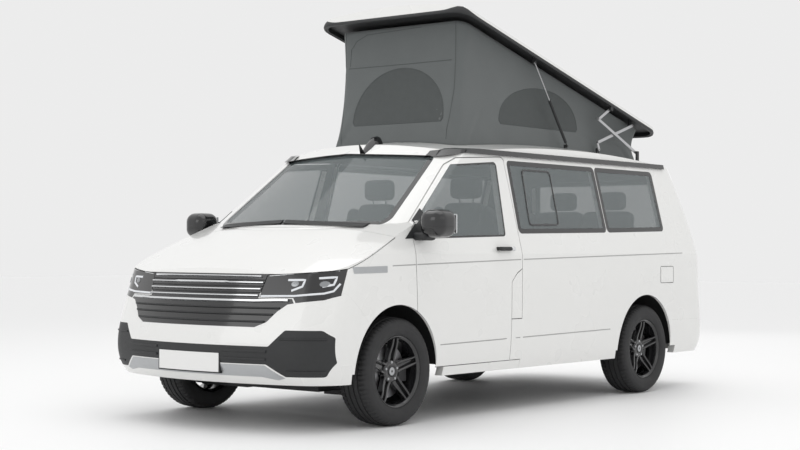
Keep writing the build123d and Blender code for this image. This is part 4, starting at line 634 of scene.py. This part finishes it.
for side, tag in ((1, "left"), (-1, "right")):
    def lamp(points):
        return [(side * y, z) for y, z in points]
    bead("lamp_edge_" + tag, FRONT, "front", lamp([(0.484, 0.808), (0.7, 0.812), (0.86, 0.828),
         (0.895, 0.842), (0.912, 0.885)]), 0.012, 0.004, LAMP_LIGHT, lift=0.0002, step=0.02)
    bead("lamp_brow_" + tag, FRONT, "front", lamp([(0.512, 0.928), (0.63, 0.938), (0.76, 0.953),
         (0.9, 0.962)]), 0.004, 0.002, (CHROME, "van", "head_lamp"), lift=0.0002, step=0.02)
    for k, hook in enumerate(([(0.64, 0.905), (0.745, 0.907), (0.737, 0.868), (0.675, 0.842)],
                              [(0.82, 0.917), (0.896, 0.924), (0.89, 0.88), (0.845, 0.868)])):
        bead("lamp_hook_%s_%d" % (tag, k), FRONT, "front", lamp(hook), 0.013, 0.003, LAMP_LIGHT, lift=0.0002,
             step=0.012)
        mid = (sum(p[0] for p in hook) / 4 - 0.01, 0.887)
        turns = [t * math.pi / 8 for t in range(16)]
        ring = [(side * (mid[0] + 0.024 * math.cos(t)), mid[1] - 0.004 + 0.017 * math.sin(t)) for t in turns]
        patch("lamp_eye_%s_%d" % (tag, k), FRONT, "front", ring, 0.002, (LAMPIN, "van", "head_lamp"),
              step=0.02, bulge=0.003)
    for k, (z, near, far) in enumerate(((0.56, 0.665, 0.905), (0.372, 0.705, 0.895))):
        bead("fog_bar_%s_%d" % (tag, k), FRONT, "front", lamp([(near, z), (far, z)]), 0.01, 0.006,
             VAN_BLACK, step=0.02)
    for k, (z, far) in enumerate(((0.486, 0.59), (0.438, 0.585))):
        bead("insert_bar_%s_%d" % (tag, k), FRONT, "front", [(side * 0.285, z), (side * far, z)], 0.016,
             0.006, VAN_BLACK, step=0.03)
skid = [(0.575, 0.403), (0.64, 0.358), (0.686, 0.33), (0.64, 0.318), (0.54, 0.335)]
patch("skid_strip", FRONT, "front", skid + [(-y, z) for y, z in reversed(skid)], 0.003, (SILVER, "van",
      "body_paint"), step=0.04)


def sensor_block(place, half, low, high, depth, tip):
    bm = bmesh.new()
    box_mesh(bm, (-depth, -half, low), (0, half, high), 0.004)
    tipped = Matrix.Translation((place, 0, 0)) @ Matrix.Rotation(tip, 4, "Y")
    bmesh.ops.transform(bm, matrix=tipped, verts=bm.verts)
    return from_bmesh(bm, "sensor_block", (GLOSS, "van", "gloss_trim"), 30)


def curved_plate(name, half, low, high, face, thick, mat):
    """A plate bent a little to follow the nose."""
    bm = bmesh.new()
    cols = []
    for k in range(25):
        y = -half + 2 * half * k / 24
        x = face - NOSE_BEND * (y / PLATE_HALF) ** 2
        section = ((x, low), (x, high), (x - thick, high), (x - thick, low))
        cols.append([bm.verts.new((a, y, z)) for a, z in section])
    skin(bm, cols)
    return from_bmesh(bm, name, (mat, "van", "black_trim"), 40)


NOSE_BEND, PLATE_HALF = 0.015, 0.26
sensor_block(2.414, 0.046, 0.664, 0.722, 0.04, -0.22)
curved_plate("plate_holder", PLATE_HALF + 0.008, 0.344, 0.474, 2.4528, 0.03, BLACK)
curved_plate("plate_front", PLATE_HALF, 0.352, 0.466, 2.4535, 0.012, PLATE)

# The tent
LID_ANGLE = math.radians(14.75)
LID_EDGE = Vector((0.545, 0, 2.713))
ALONG = Vector((math.cos(LID_ANGLE), 0, math.sin(LID_ANGLE)))
LID_UP = Vector((-math.sin(LID_ANGLE), 0, math.cos(LID_ANGLE)))
LID_LENGTH, LID_HALF = 2.754, 0.665
ROOF = body_tree("roof_panel side_panel_left side_panel_right front_wings")


def rim_height(x):
    return LID_EDGE.z - (LID_EDGE.x - x) * math.tan(LID_ANGLE)


def rounded_loop(front, rear, half, corner, step):
    """Points round a rounded rectangle seen from above, each with its outward direction."""
    starts = (((front - corner, half - corner), 0), ((rear + corner, half - corner), 90),
              ((rear + corner, -half + corner), 180), ((front - corner, -half + corner), 270))
    corners = []
    for (cx, cy), start in starts:
        turns = [math.radians(start + a) for a in range(0, 91, 15)]
        corners.append([(cx + corner * math.cos(t), cy + corner * math.sin(t)) for t in turns])
    pts = []
    for arc, after in zip(corners, corners[1:] + corners[:1]):
        pts += arc
        a, b = arc[-1], after[0]
        n = int(math.hypot(b[0] - a[0], b[1] - a[1]) / step)
        pts += [(a[0] + (b[0] - a[0]) * i / n, a[1] + (b[1] - a[1]) * i / n) for i in range(1, n)]
    out = []
    for i, p in enumerate(pts):
        q, r = pts[i - 1], pts[(i + 1) % len(pts)]
        d = Vector((r[0] - q[0], r[1] - q[1])).normalized()
        out.append((Vector(p), Vector((d.y, -d.x))))
    return out


def wave(a, b, seed):
    """A smooth, seeded ripple for folds in cloth."""
    rng = random.Random(seed)
    total = 0.0
    for k in range(5):
        f, g, h = rng.uniform(2, 9), rng.uniform(-7, 7), rng.uniform(0, 6.3)
        total += math.sin(f * a + g * b + h) / (1.6 + k)
    return total / 2.2


def crease(d, width):
    return math.exp(-(d / width) ** 2)


TENT_FRONT_X, TENT_REAR_X, TENT_HALF, TENT_CORNER = 0.507, -1.982, 0.567, 0.087
TENT_STEP, TENT_ROWS, TENT_TOP_GAP, CLOTH_THICKNESS = 0.03, 40, 0.004, 0.0012
TENT_LEAN, TENT_PULL, CORNER_PULL, CROSS_SEAM_DROP = 0.095, 0.034, 0.016, 0.3


def lean(x, t):
    """How far the tent leans back at a share of its height."""
    return TENT_LEAN * t * max(0.0, (x - TENT_REAR_X) / (TENT_FRONT_X - TENT_REAR_X)) ** 1.5


def tent_folds(x, y, across, width, t, foot, span, end):
    """Folds at the lower and upper corners, ripples by the foot and the cross seam's dip."""
    fold = 0.0
    for sign in (1, -1):
        d = (across * sign - 0.86) * width * 0.5 + (t - 0.12) * span * 0.55
        fold += 0.0075 * crease(d, 0.028) * crease(t - 0.14, 0.2)
        fold -= 0.006 * crease(d + 0.045, 0.024) * crease(t - 0.12, 0.17)
        d = (across * sign - 0.82) * width * 0.5 - (t - 0.9) * span * 0.5
        fold += 0.006 * crease(d, 0.03) * crease(t - 0.88, 0.16)
    fold += 0.0055 * crease(t - 0.04, 0.085) * wave(x * 3.2 + y * 4.1, t * 2, 11)
    fold += 0.0032 * wave(x * 1.7 + y * 1.9, t * 1.6 * span, 5) * math.sin(math.pi * t)
    from_seam = foot + t * span - (rim_height(x) - CROSS_SEAM_DROP)
    return fold - 0.004 * crease(from_seam, 0.012) * (1 if end else 0.3)


def tent_point(p, out, t, foot, top):
    """Place of a tent point at a share t of its height."""
    x, y = p
    end = abs(out.x) > 0.5
    width, across = (1.18, y / 0.57) if end else (2.4, (x + 0.74) / 1.25)
    pull = TENT_PULL * math.sin(math.pi * min(1, t * 1.02)) * (1.0 - 0.35 * abs(across))
    pull += CORNER_PULL * math.sin(math.pi * t) * crease(1 - abs(across), 0.1)
    fold = tent_folds(x, y, across, width, t, foot, top - foot, end)
    q = p - out * pull + out * (fold - 0.003)
    return Vector((q.x - lean(p.x, t), q.y, foot + t * (top - foot)))


def build_tent():
    bm = bmesh.new()
    grid = []
    for p, out in rounded_loop(TENT_FRONT_X, TENT_REAR_X, TENT_HALF, TENT_CORNER, TENT_STEP):
        hit, _, _, _ = ROOF.ray_cast(Vector((p.x, p.y, 2.6)), Vector((0, 0, -1)))
        foot = (hit.z if hit is not None else 1.83) - 0.006
        top = rim_height(p.x - lean(p.x, 1)) - TENT_TOP_GAP
        shares = [k / TENT_ROWS for k in range(TENT_ROWS + 1)]
        grid.append([bm.verts.new(tent_point(p, out, t, foot, top)) for t in shares])
    for a, b in zip(grid, grid[1:] + grid[:1]):
        for j in range(TENT_ROWS):
            bm.faces.new((a[j], b[j], b[j + 1], a[j + 1]))
    obj = from_bmesh(bm, "tent_wall", (TENT, "van", "tent_cloth"), 180)
    thick = obj.modifiers.new("thickness", "SOLIDIFY")
    thick.thickness = CLOTH_THICKNESS
    thick.offset = -1
    return obj, sum(p.area for p in obj.data.polygons)


tent_wall, tent_area = build_tent()
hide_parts("tent")
TENT_TREE = BVHTree.FromPolygons([v.co.copy() for v in tent_wall.data.vertices],
                                 [list(p.vertices) for p in tent_wall.data.polygons])


def arch(centre, foot, wide, high):
    """A zip's path: a half ellipse with a flat foot, closed."""
    turns = [math.pi * k / 40 for k in range(1, 40)]
    top = [(centre + wide * math.cos(t), foot + high * math.sin(t) ** 0.92) for t in turns]
    right, left = (centre + wide, foot + 0.012), (centre - wide, foot + 0.012)
    base = [(centre - wide + 0.02, foot - 0.01), (centre + wide - 0.02, foot - 0.01)]
    return [right] + top + [left] + base + [right]


tent_pieces = []
FRONT_ZIP, SIDE_ZIP = arch(0.025, 1.99, 0.41, 0.385), arch(-0.565, 2.000, 0.52, 0.275)
for view, path in (("front", FRONT_ZIP), ("left", SIDE_ZIP), ("right", SIDE_ZIP)):
    tent_pieces.append(bead("tent_zip_" + view, TENT_TREE, view, path, 0.007, 0.0025, TENT_TRIM, sink=0.001,
                       step=0.02, closed=True))
    tent_pieces.append(patch("tent_window_" + view, TENT_TREE, view, path[:-1], 0.0008, TENT_TRIM,
                       sink=0.0003, step=0.03))
for tag, view, path in (
    ("cross", "front", [(-0.47, 2.404), (0.47, 2.404)]),
    ("corner_left", "front", [(0.478, 1.85), (0.5, 2.2), (0.5, 2.402), (0.502, 2.69)]),
    ("corner_right", "front", [(-0.478, 1.85), (-0.5, 2.2), (-0.5, 2.402), (-0.502, 2.69)]),
    ("door_zip", "front", [(-0.455, 2.42), (-0.445, 2.54), (-0.4, 2.6), (-0.3, 2.64), (0.2, 2.655)]),
):
    tent_pieces.append(bead("tent_seam_" + tag, TENT_TREE, view, path, 0.005, 0.0016, TENT_TRIM, sink=0.001,
                       step=0.02))
for obj in [tent_wall] + tent_pieces:
    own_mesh(obj)

# The lid's edge and lining
LID_SKIRT, LID_HOLLOW, LID_CORNER = 0.0215, 0.0299, 0.14
for face in nodes["lid"].data.polygons:
    spot = face.center - LID_EDGE
    within = abs(spot.y) < LID_HALF - LID_SKIRT and LID_SKIRT < -ALONG.dot(spot) < LID_LENGTH - LID_SKIRT
    if face.normal.dot(LID_UP) < -0.5 or (LID_UP.dot(spot) < LID_HOLLOW and within):
        face.material_index = 1
nodes["lid"].data.materials.append(BLACK)


def lid_band():
    """The black edge round the lid, raised at its front corners."""
    bm = bmesh.new()
    rings = []
    for (u, v), out in rounded_loop(0.0, -LID_LENGTH, LID_HALF, LID_CORNER, 0.03):
        place = LID_EDGE + ALONG * u + Vector((0, v, 0))
        way = ALONG * out.x + Vector((0, out.y, 0))
        bump = crease(math.hypot(u + 0.045, abs(v) - 0.605), 0.065)
        high = 0.02 + 0.03 * bump
        proud = 0.004 + 0.01 * bump
        section = ((-0.006, -0.003), (proud * 0.7, -0.003), (proud, 0.004), (proud * 0.9, high * 0.6),
                   (proud * 0.3, high), (-0.006, high))
        rings.append([bm.verts.new(place + way * a + LID_UP * b) for a, b in section])
    skin(bm, rings, closed=True)
    return from_bmesh(bm, "lid_edge", (BLACK, "lid", "black_trim"), 40)


lid_band()

# Shut lines drawn as dark strips of painted shade in the gaps, and window borders
OUTER = body_tree("bonnet door_left door_right filler_flap front_wings front_bumper rear_bumper sliding_door "
                  "side_panel_left side_panel_right tailgate roof_panel head_lamps tail_lamps grille "
                  "bumper_insert")


def clean_mesh(name):
    bm = bmesh.new()
    bm.from_mesh(nodes[name].data)
    bmesh.ops.remove_doubles(bm, verts=bm.verts, dist=1e-5)
    bm.normal_update()
    return bm


def border(bm, way, tree, reach):
    """Outer border edges of a panel facing some way, each vertex with its directions."""
    marks = {}
    edges = []
    for e in bm.edges:
        if len(e.link_faces) != 2:
            continue
        a, b = e.link_faces
        if a.normal.dot(way) < b.normal.dot(way):
            a, b = b, a
        if a.normal.dot(way) < 0.45 or b.normal.dot(way) > 0.35 or a.normal.dot(b.normal) > 0.6:
            continue
        along = (e.verts[1].co - e.verts[0].co).normalized()
        out = along.cross(a.normal).normalized()
        mid = (e.verts[0].co + e.verts[1].co) / 2
        if out.dot(mid - a.calc_center_median()) < 0:
            out = -out
        gap = 0.0
        if reach:
            hit, _, _, gap = tree.ray_cast(mid + out * 0.0008 - a.normal * 0.0035, out, reach)
            if hit is None:
                continue
            shown, _, _, _ = tree.ray_cast(mid - out * 0.002 + way * 0.5, -way)
            if shown is None or (shown - (mid - out * 0.002)).dot(way) > 0.004:
                continue
        edges.append(e)
        for v in e.verts:
            marks.setdefault(v, []).append((out, a.normal.copy(), gap))
    return edges, marks


def strip(name, source, way, finish, reach=0.012, inward=0.0):
    """A dark strip in the gap round a panel (painted gap shade, partly a rubber seal), or a printed border on
    a pane.
    """
    bm = clean_mesh(source)
    edges, marks = border(bm, Vector(way), OUTER, reach)
    made = bmesh.new()
    ring = {}
    for v, found in marks.items():
        out = sum((f[0] for f in found), Vector()).normalized()
        up = sum((f[1] for f in found), Vector()).normalized()
        gap = sum(f[2] for f in found) / len(found) + 0.0008
        if inward:
            spread = max(0.55, min(1.0, out.dot(found[0][0])))
            reach_in = -inward / spread
            section = ((0.0, 0.0006), (reach_in, 0.0006), (reach_in, -0.0008), (0.0, -0.0008))
        else:
            section = ((0.0, -0.003), (gap * 0.92, -0.003), (gap * 0.92, -0.006), (0.0, -0.006))
        ring[v] = [made.verts.new(v.co + out * a + up * b) for a, b in section]
    used = {}
    for e in edges:
        p, q = ring[e.verts[0]], ring[e.verts[1]]
        for j in range(4):
            corners = (p[j], p[(j + 1) % 4], q[(j + 1) % 4], q[j])
            if made.faces.get(corners) is None:
                made.faces.new(corners)
        for v in e.verts:
            used[v] = used.get(v, 0) + 1
    for v, n in used.items():
        if n == 1:
            made.faces.new(ring[v])
    bm.free()
    return from_bmesh(made, name, finish, 30)


UP_FRONT = (0.5, 0, 0.87)
# Dark strips in the shut lines round each panel: painted shade in the gaps.
for source, way, body in (("door_left", (0, 1, 0), "door_left"), ("door_right", (0, -1, 0), "door_right"),
                          ("sliding_door", (0, -1, 0), "van"), ("filler_flap", (0, 1, 0), "filler_flap"),
                          ("tailgate", (-1, 0, 0), "tailgate"), ("bonnet", UP_FRONT, "bonnet"),
                          ("front_bumper", (1, 0, 0.3), "van"), ("rear_bumper", (-1, 0, 0.2), "van"),
                          ("head_lamps", (0.8, 0.0, 0.6), "van"), ("tail_lamps", (-1, 0, 0), "van")):
    strip("seam_" + source, source, way, (SEAL_AND_GAP_SHADE, body, "black_trim"))
for source, way, body, width in (("side_windows", (0, 1, 0), "van", 0.034),
                                 ("windscreen", (0.66, 0, 0.75), "van", 0.034),
                                 ("door_window_left", (0, 1, 0), "door_left", 0.012),
                                 ("door_window_right", (0, -1, 0), "door_right", 0.012),
                                 ("tailgate_window", (-1, 0, 0.2), "tailgate", 0.04)):
    strip("border_" + source, source, way, (FRIT, body, "gloss_trim"), reach=0, inward=width)
strip("border_side_windows_right", "side_windows", (0, -1, 0), VAN_FRIT, reach=0, inward=0.034)

# Linings inside the cab and load space
for name in ("side_panel_left side_panel_right sliding_door door_left door_right roof_panel tailgate "
             "front_wings").split():
    mesh = nodes[name].data
    mesh.materials.append(DARK_LINING)
    for face in mesh.polygons:
        x, y, z = face.center
        inward = face.normal.dot(Vector((0, y, (z - 1.15) * 0.8))) < -0.12 and z > 0.45
        if name == "tailgate":
            inner = face.normal.x > 0.3
        else:
            inner = inward and abs(x) < 2.42 and not (name == "front_wings" and x > 1.65)
        if inner:
            face.material_index = 1


# Seats and bench
def cushion(low, high, round_by, puff, tip=0.0, pivot=None, cuts=9):
    """A stuffed block: rounded edges and slightly domed faces."""
    bm = bmesh.new()
    bmesh.ops.create_cube(bm, size=2)
    bmesh.ops.subdivide_edges(bm, edges=bm.edges[:], cuts=cuts, use_grid_fill=True)
    low, high = Vector(low), Vector(high)
    half, mid = (high - low) / 2, (high + low) / 2
    for v in bm.verts:
        p = Vector([v.co[i] * half[i] for i in range(3)])
        core = Vector([max(-half[i] + round_by, min(half[i] - round_by, p[i])) for i in range(3)])
        d = p - core
        if d.length > 1e-6:
            p = core + d.normalized() * min(d.length, round_by)
        dome = [1 - min(1, abs(p[i] / half[i])) ** 2 for i in range(3)]
        for i in range(3):
            j, k = (i + 1) % 3, (i + 2) % 3
            p[i] += math.copysign(puff * dome[j] * dome[k], p[i]) * (abs(p[i]) / half[i]) ** 4
        v.co = p + mid
    if tip:
        pivot = Vector(pivot)
        tipped = Matrix.Translation(pivot) @ Matrix.Rotation(tip, 4, "Y") @ Matrix.Translation(-pivot)
        bmesh.ops.transform(bm, matrix=tipped, verts=bm.verts)
    return bm


def soft(name, low, high, round_by, puff, tip=0.0, pivot=None):
    obj = from_bmesh(cushion(low, high, round_by, puff, tip, pivot), name, (CLOTH, "van", "seat_cloth"), 180)
    return obj


def base(name, low, high):
    bm = bmesh.new()
    box_mesh(bm, low, high, 0.012)
    return from_bmesh(bm, name, VAN_BLACK, 30)


SEAT_PLACE = 0.4
SEAT_TIP, BENCH_TIP = (-0.25, (0.26, 0, 0.935)), (-0.21, (-1.6, 0, 0.9))
SEAT_PADS = (
    # name, x from and to, y from and to about the seat's middle, z from and to, rounding, puff, tip
    ("seat_cushion_", (0.262, 0.722), (-0.155, 0.155), (0.815, 0.952), 0.045, 0.006, ()),
    ("seat_side_in_", (0.262, 0.715), (-0.258, -0.155), (0.812, 0.96), 0.045, 0.003, ()),
    ("seat_side_out_", (0.262, 0.715), (0.155, 0.258), (0.812, 0.96), 0.045, 0.003, ()),
    ("seat_back_", (0.236, 0.326), (-0.165, 0.165), (0.935, 1.425), 0.04, 0.006, SEAT_TIP),
    ("seat_wing_in_", (0.226, 0.342), (-0.258, -0.165), (0.93, 1.395), 0.045, 0.002, SEAT_TIP),
    ("seat_wing_out_", (0.226, 0.342), (0.165, 0.258), (0.93, 1.395), 0.045, 0.002, SEAT_TIP),
    ("headrest_", (0.104, 0.186), (-0.128, 0.128), (1.452, 1.598), 0.036, 0.004, ()),
)
for side, tag in ((1, "left"), (-1, "right")):
    y = side * SEAT_PLACE
    for name, (x0, x1), (y0, y1), (z0, z1), round_by, puff, tip in SEAT_PADS:
        pad = soft(name + tag, (x0, y + y0, z0), (x1, y + y1, z1), round_by, puff, *tip)
        if name == "seat_cushion_":
            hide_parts("front_seats")
    base("seat_base_" + tag, (0.29, y - 0.2, 0.537), (0.665, y + 0.2, 0.825))
    for k in (-1, 1):
        bm = bmesh.new()
        turns = [t * math.pi / 4 for t in range(8)]
        tube(bm, [Vector((0.14, y + k * 0.06, 1.4)), Vector((0.145, y + k * 0.06, 1.47))],
             [(0.006 * math.cos(t), 0.006 * math.sin(t)) for t in turns], [Vector((1, 0, 0))] * 2)
        from_bmesh(bm, "headrest_post_%s_%d" % (tag, k + 1), (STEEL, "van", "seat_cloth"), 60)

for k, (low, high) in enumerate(((-0.686, -0.232), (-0.226, 0.226), (0.232, 0.686))):
    mid = (low + high) / 2
    pad = soft("bench_cushion_%d" % k, (-1.632, low, 0.8), (-1.135, high, 0.938), 0.045, 0.006)
    soft("bench_back_%d" % k, (-1.628, low, 0.9), (-1.525, high, 1.396), 0.045, 0.006, *BENCH_TIP)
    soft("bench_headrest_%d" % k, (-1.77, mid - 0.118, 1.41), (-1.69, mid + 0.118, 1.55), 0.036, 0.004)
    if k == 0:
        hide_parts("rear_bench")
base("bench_base", (-1.636, -0.66, 0.537), (-1.16, 0.66, 0.815))

# Painted crease shade lines and small parts on the sides
SIDES = body_tree("front_wings door_left door_right side_panel_left side_panel_right sliding_door")
SHOULDER_FRONT, SHOULDER_KNEE, SHOULDER_REAR = (1.647, 0.9895), (0.275, 1.024), (-1.993, 1.069)
CREASE_FRONT, CREASE_SLOPE = (1.163, 0.485), 0.011
LINE_WIDTH, LINE_RISE = 0.007, 0.001
BADGE_STRIP = [(1.69, 0.948), (1.99, 0.944), (1.996, 0.984), (1.69, 0.989)]
FLAP_LOW, FLAP_HIGH, FLAP_SEAM = (-1.832, 0.844), (-1.644, 0.959), 0.006


def shoulder(x):
    """Height of the shoulder line."""
    a, b = (SHOULDER_FRONT, SHOULDER_KNEE) if x > SHOULDER_KNEE[0] else (SHOULDER_KNEE, SHOULDER_REAR)
    return a[1] + (a[0] - x) * (b[1] - a[1]) / (a[0] - b[0])


# Shoulder and crease lines are thin grey strips of painted shade along the creases.
def side_line(name, view, body, path):
    bead(name, SIDES, view, path, LINE_WIDTH, LINE_RISE, (CREASE_SHADE, body, "body_paint"), step=0.05)


def rectangle(low, high, grow=0.0):
    (a, b), (c, d) = low, high
    return [(a - grow, b - grow), (c + grow, b - grow), (c + grow, d + grow), (a - grow, d + grow)]


for view in ("left", "right"):
    door = "door_" + view
    for tag, body, start, end in (("wing", "van", 1.64, 1.412), ("door", door, 1.398, 0.262),
                                  ("panel", "van", 0.228, -1.985)):
        places = [start + (end - start) * i / 12 for i in range(13)]
        side_line("shoulder_%s_%s" % (tag, view), view, body, [(x, shoulder(x)) for x in places])
    for tag, body, start, end in (("door", door, 1.15, 0.262), ("panel", "van", 0.228, -0.905)):
        path = [(x, CREASE_FRONT[1] + (CREASE_FRONT[0] - x) * CREASE_SLOPE) for x in (start, end)]
        side_line("crease_%s_%s" % (tag, view), view, body, path)
    patch("badge_strip_" + view, SIDES, view, rounded(BADGE_STRIP, 0.006), 0.0015, (SILVER, "van",
          "body_paint"), step=0.04)
patch("service_flap", SIDES, "left", rounded(rectangle(FLAP_LOW, FLAP_HIGH), 0.012), 0.0015, (PAINT, "van",
      "body_paint"), step=0.03)
seam = rounded(rectangle(FLAP_LOW, FLAP_HIGH, FLAP_SEAM), 0.014)
# The flap's shut line is a dark strip of painted gap shade.
bead("service_flap_line", SIDES, "left", seam + [(-1.838, 0.852)], 0.004, 0.0008, (SEAL_AND_GAP_SHADE, "van",
     "black_trim"), step=0.03)

# Roof aerial
AERIAL_SIDE = 0.12
AERIAL_SECTIONS = (
    # place along the van, half width, height
    (0.985, 0.006, 0.002), (0.95, 0.024, 0.014), (0.9, 0.034, 0.038), (0.85, 0.038, 0.054),
    (0.8, 0.038, 0.06), (0.775, 0.034, 0.052), (0.765, 0.026, 0.004),
)
bm = bmesh.new()
rings = []
for x, half, high in AERIAL_SECTIONS:
    spot, _, _, _ = ROOF.ray_cast(Vector((x, AERIAL_SIDE, 2.4)), Vector((0, 0, -1)))
    low = (spot.z if spot else 1.8) - 0.004
    edge = ((-1, 0), (-0.75, 0.45), (-0.3, 0.9), (0, 1), (0.3, 0.9), (0.75, 0.45), (1, 0))
    rings.append([bm.verts.new((x, AERIAL_SIDE + y * half, low + z * high)) for y, z in edge])
skin(bm, rings)
from_bmesh(bm, "roof_aerial", (GLOSS, "van", "gloss_trim"), 40)

# Mirrors, sails and door handles
SAIL = [(1.49, 1.156), (1.25, 1.162), (1.236, 1.35)]
DOOR_PARTS = (
    # name, x from and to, y from and to, z from and to, rounding, puff, cuts, material, smooth below
    ("mirror_shell_%s", (1.222, 1.418), (0.966, 1.1445), (1.168, 1.336), 0.058, 0.004, 11, GLOSS, 180),
    ("mirror_glass_%s", (1.217, 1.23), (0.992, 1.128), (1.192, 1.314), 0.006, 0, 9, CHROME, 40),
    ("mirror_foot_%s", (1.285, 1.41), (0.905, 1.02), (1.146, 1.196), 0.022, 0, 9, BLACK, 180),
    ("handle_grip_%s", (0.398, 0.545), (0.958, 0.982), (1.083, 1.11), 0.011, 0, 9, BLACK, 180),
    ("handle_tip_%s", (0.36, 0.402), (0.957, 0.983), (1.082, 1.111), 0.011, 0, 9, CHROME, 180),
    ("handle_foot_%s_0", (0.37, 0.4), (0.93, 0.966), (1.084, 1.109), 0.008, 0, 9, BLACK, 180),
    ("handle_foot_%s_1", (0.505, 0.535), (0.93, 0.966), (1.084, 1.109), 0.008, 0, 9, BLACK, 180),
)
GLOSS_PARTS = ("mirror_shell_%s", "mirror_glass_%s")
for view, side in (("left", 1), ("right", -1)):
    door = "door_" + view
    for name, (x0, x1), span, (z0, z1), round_by, puff, cuts, mat, angle in DOOR_PARTS:
        y0, y1 = sorted(side * y for y in span)
        bm = cushion((x0, y0, z0), (x1, y1, z1), round_by, puff, cuts=cuts)
        slot_name = "gloss_trim" if name in GLOSS_PARTS else "black_trim"
        obj = from_bmesh(bm, name % view, (mat, door, slot_name), angle)
        if name == "mirror_shell_%s":
            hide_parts("door_fittings_" + view)
    sail_tree = body_tree("door_%s door_window_%s front_wings windscreen" % (view, view))
    patch("mirror_sail_" + view, sail_tree, view, SAIL, 0.004, (BLACK, door, "black_trim"), step=0.03)
PANES = body_tree("side_windows")
SLIDING_PANE = [(0.04, 1.646), (-0.299, 1.646), (-0.28, 1.267), (0.087, 1.262)]
bead("sliding_pane_frame", PANES, "left", rounded(SLIDING_PANE, 0.03) + [(0.049, 1.64)], 0.013, 0.004,
     VAN_FRIT, sink=0.001, step=0.03)

# The tail
TAIL = body_tree("tailgate rear_bumper side_panel_left side_panel_right")
for name, low, high, corner, thick, mat in (
    ("rear_plate_recess", (-0.28, 0.8), (0.28, 0.935), 0.012, 0.002, BLACK),
    ("rear_plate", (-0.26, 0.81), (0.26, 0.92), 0.006, 0.007, PLATE),
):
    patch(name, TAIL, "back", rounded(rectangle(low, high), corner), thick, (mat, "tailgate", "black_trim"),
          step=0.05)
for name, half, z, width, rise, mat, slot_name in (
    ("tailgate_grip", 0.27, 0.95, 0.03, 0.018, BLACK, "black_trim"),
    # The tailgate crease is a grey strip of painted shade.
    ("tailgate_crease", 0.64, 1.04, 0.008, 0.0012, CREASE_SHADE, "body_paint"),
):
    bead(name, TAIL, "back", [(-half, z), (half, z)], width, rise, (mat, "tailgate", slot_name), step=0.04)
REFLECTOR = rectangle((0.56, 0.462), (0.78, 0.486))
for side, tag in ((1, "left"), (-1, "right")):
    patch("rear_reflector_" + tag, TAIL, "back", [(side * y, z) for y, z in REFLECTOR], 0.003,
          (REDLAMP, "van", "tail_lamp"), step=0.03)

make_camera()
make_world()
make_floor()
make_lamps()
bpy.context.scene.view_settings.view_transform = "Standard"

size_lines = [list(map(float, v)) for v in (cad_low, cad_high)]
now_low, now_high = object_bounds()
size_lines += [list(map(float, v)) for v in (now_low, now_high)]
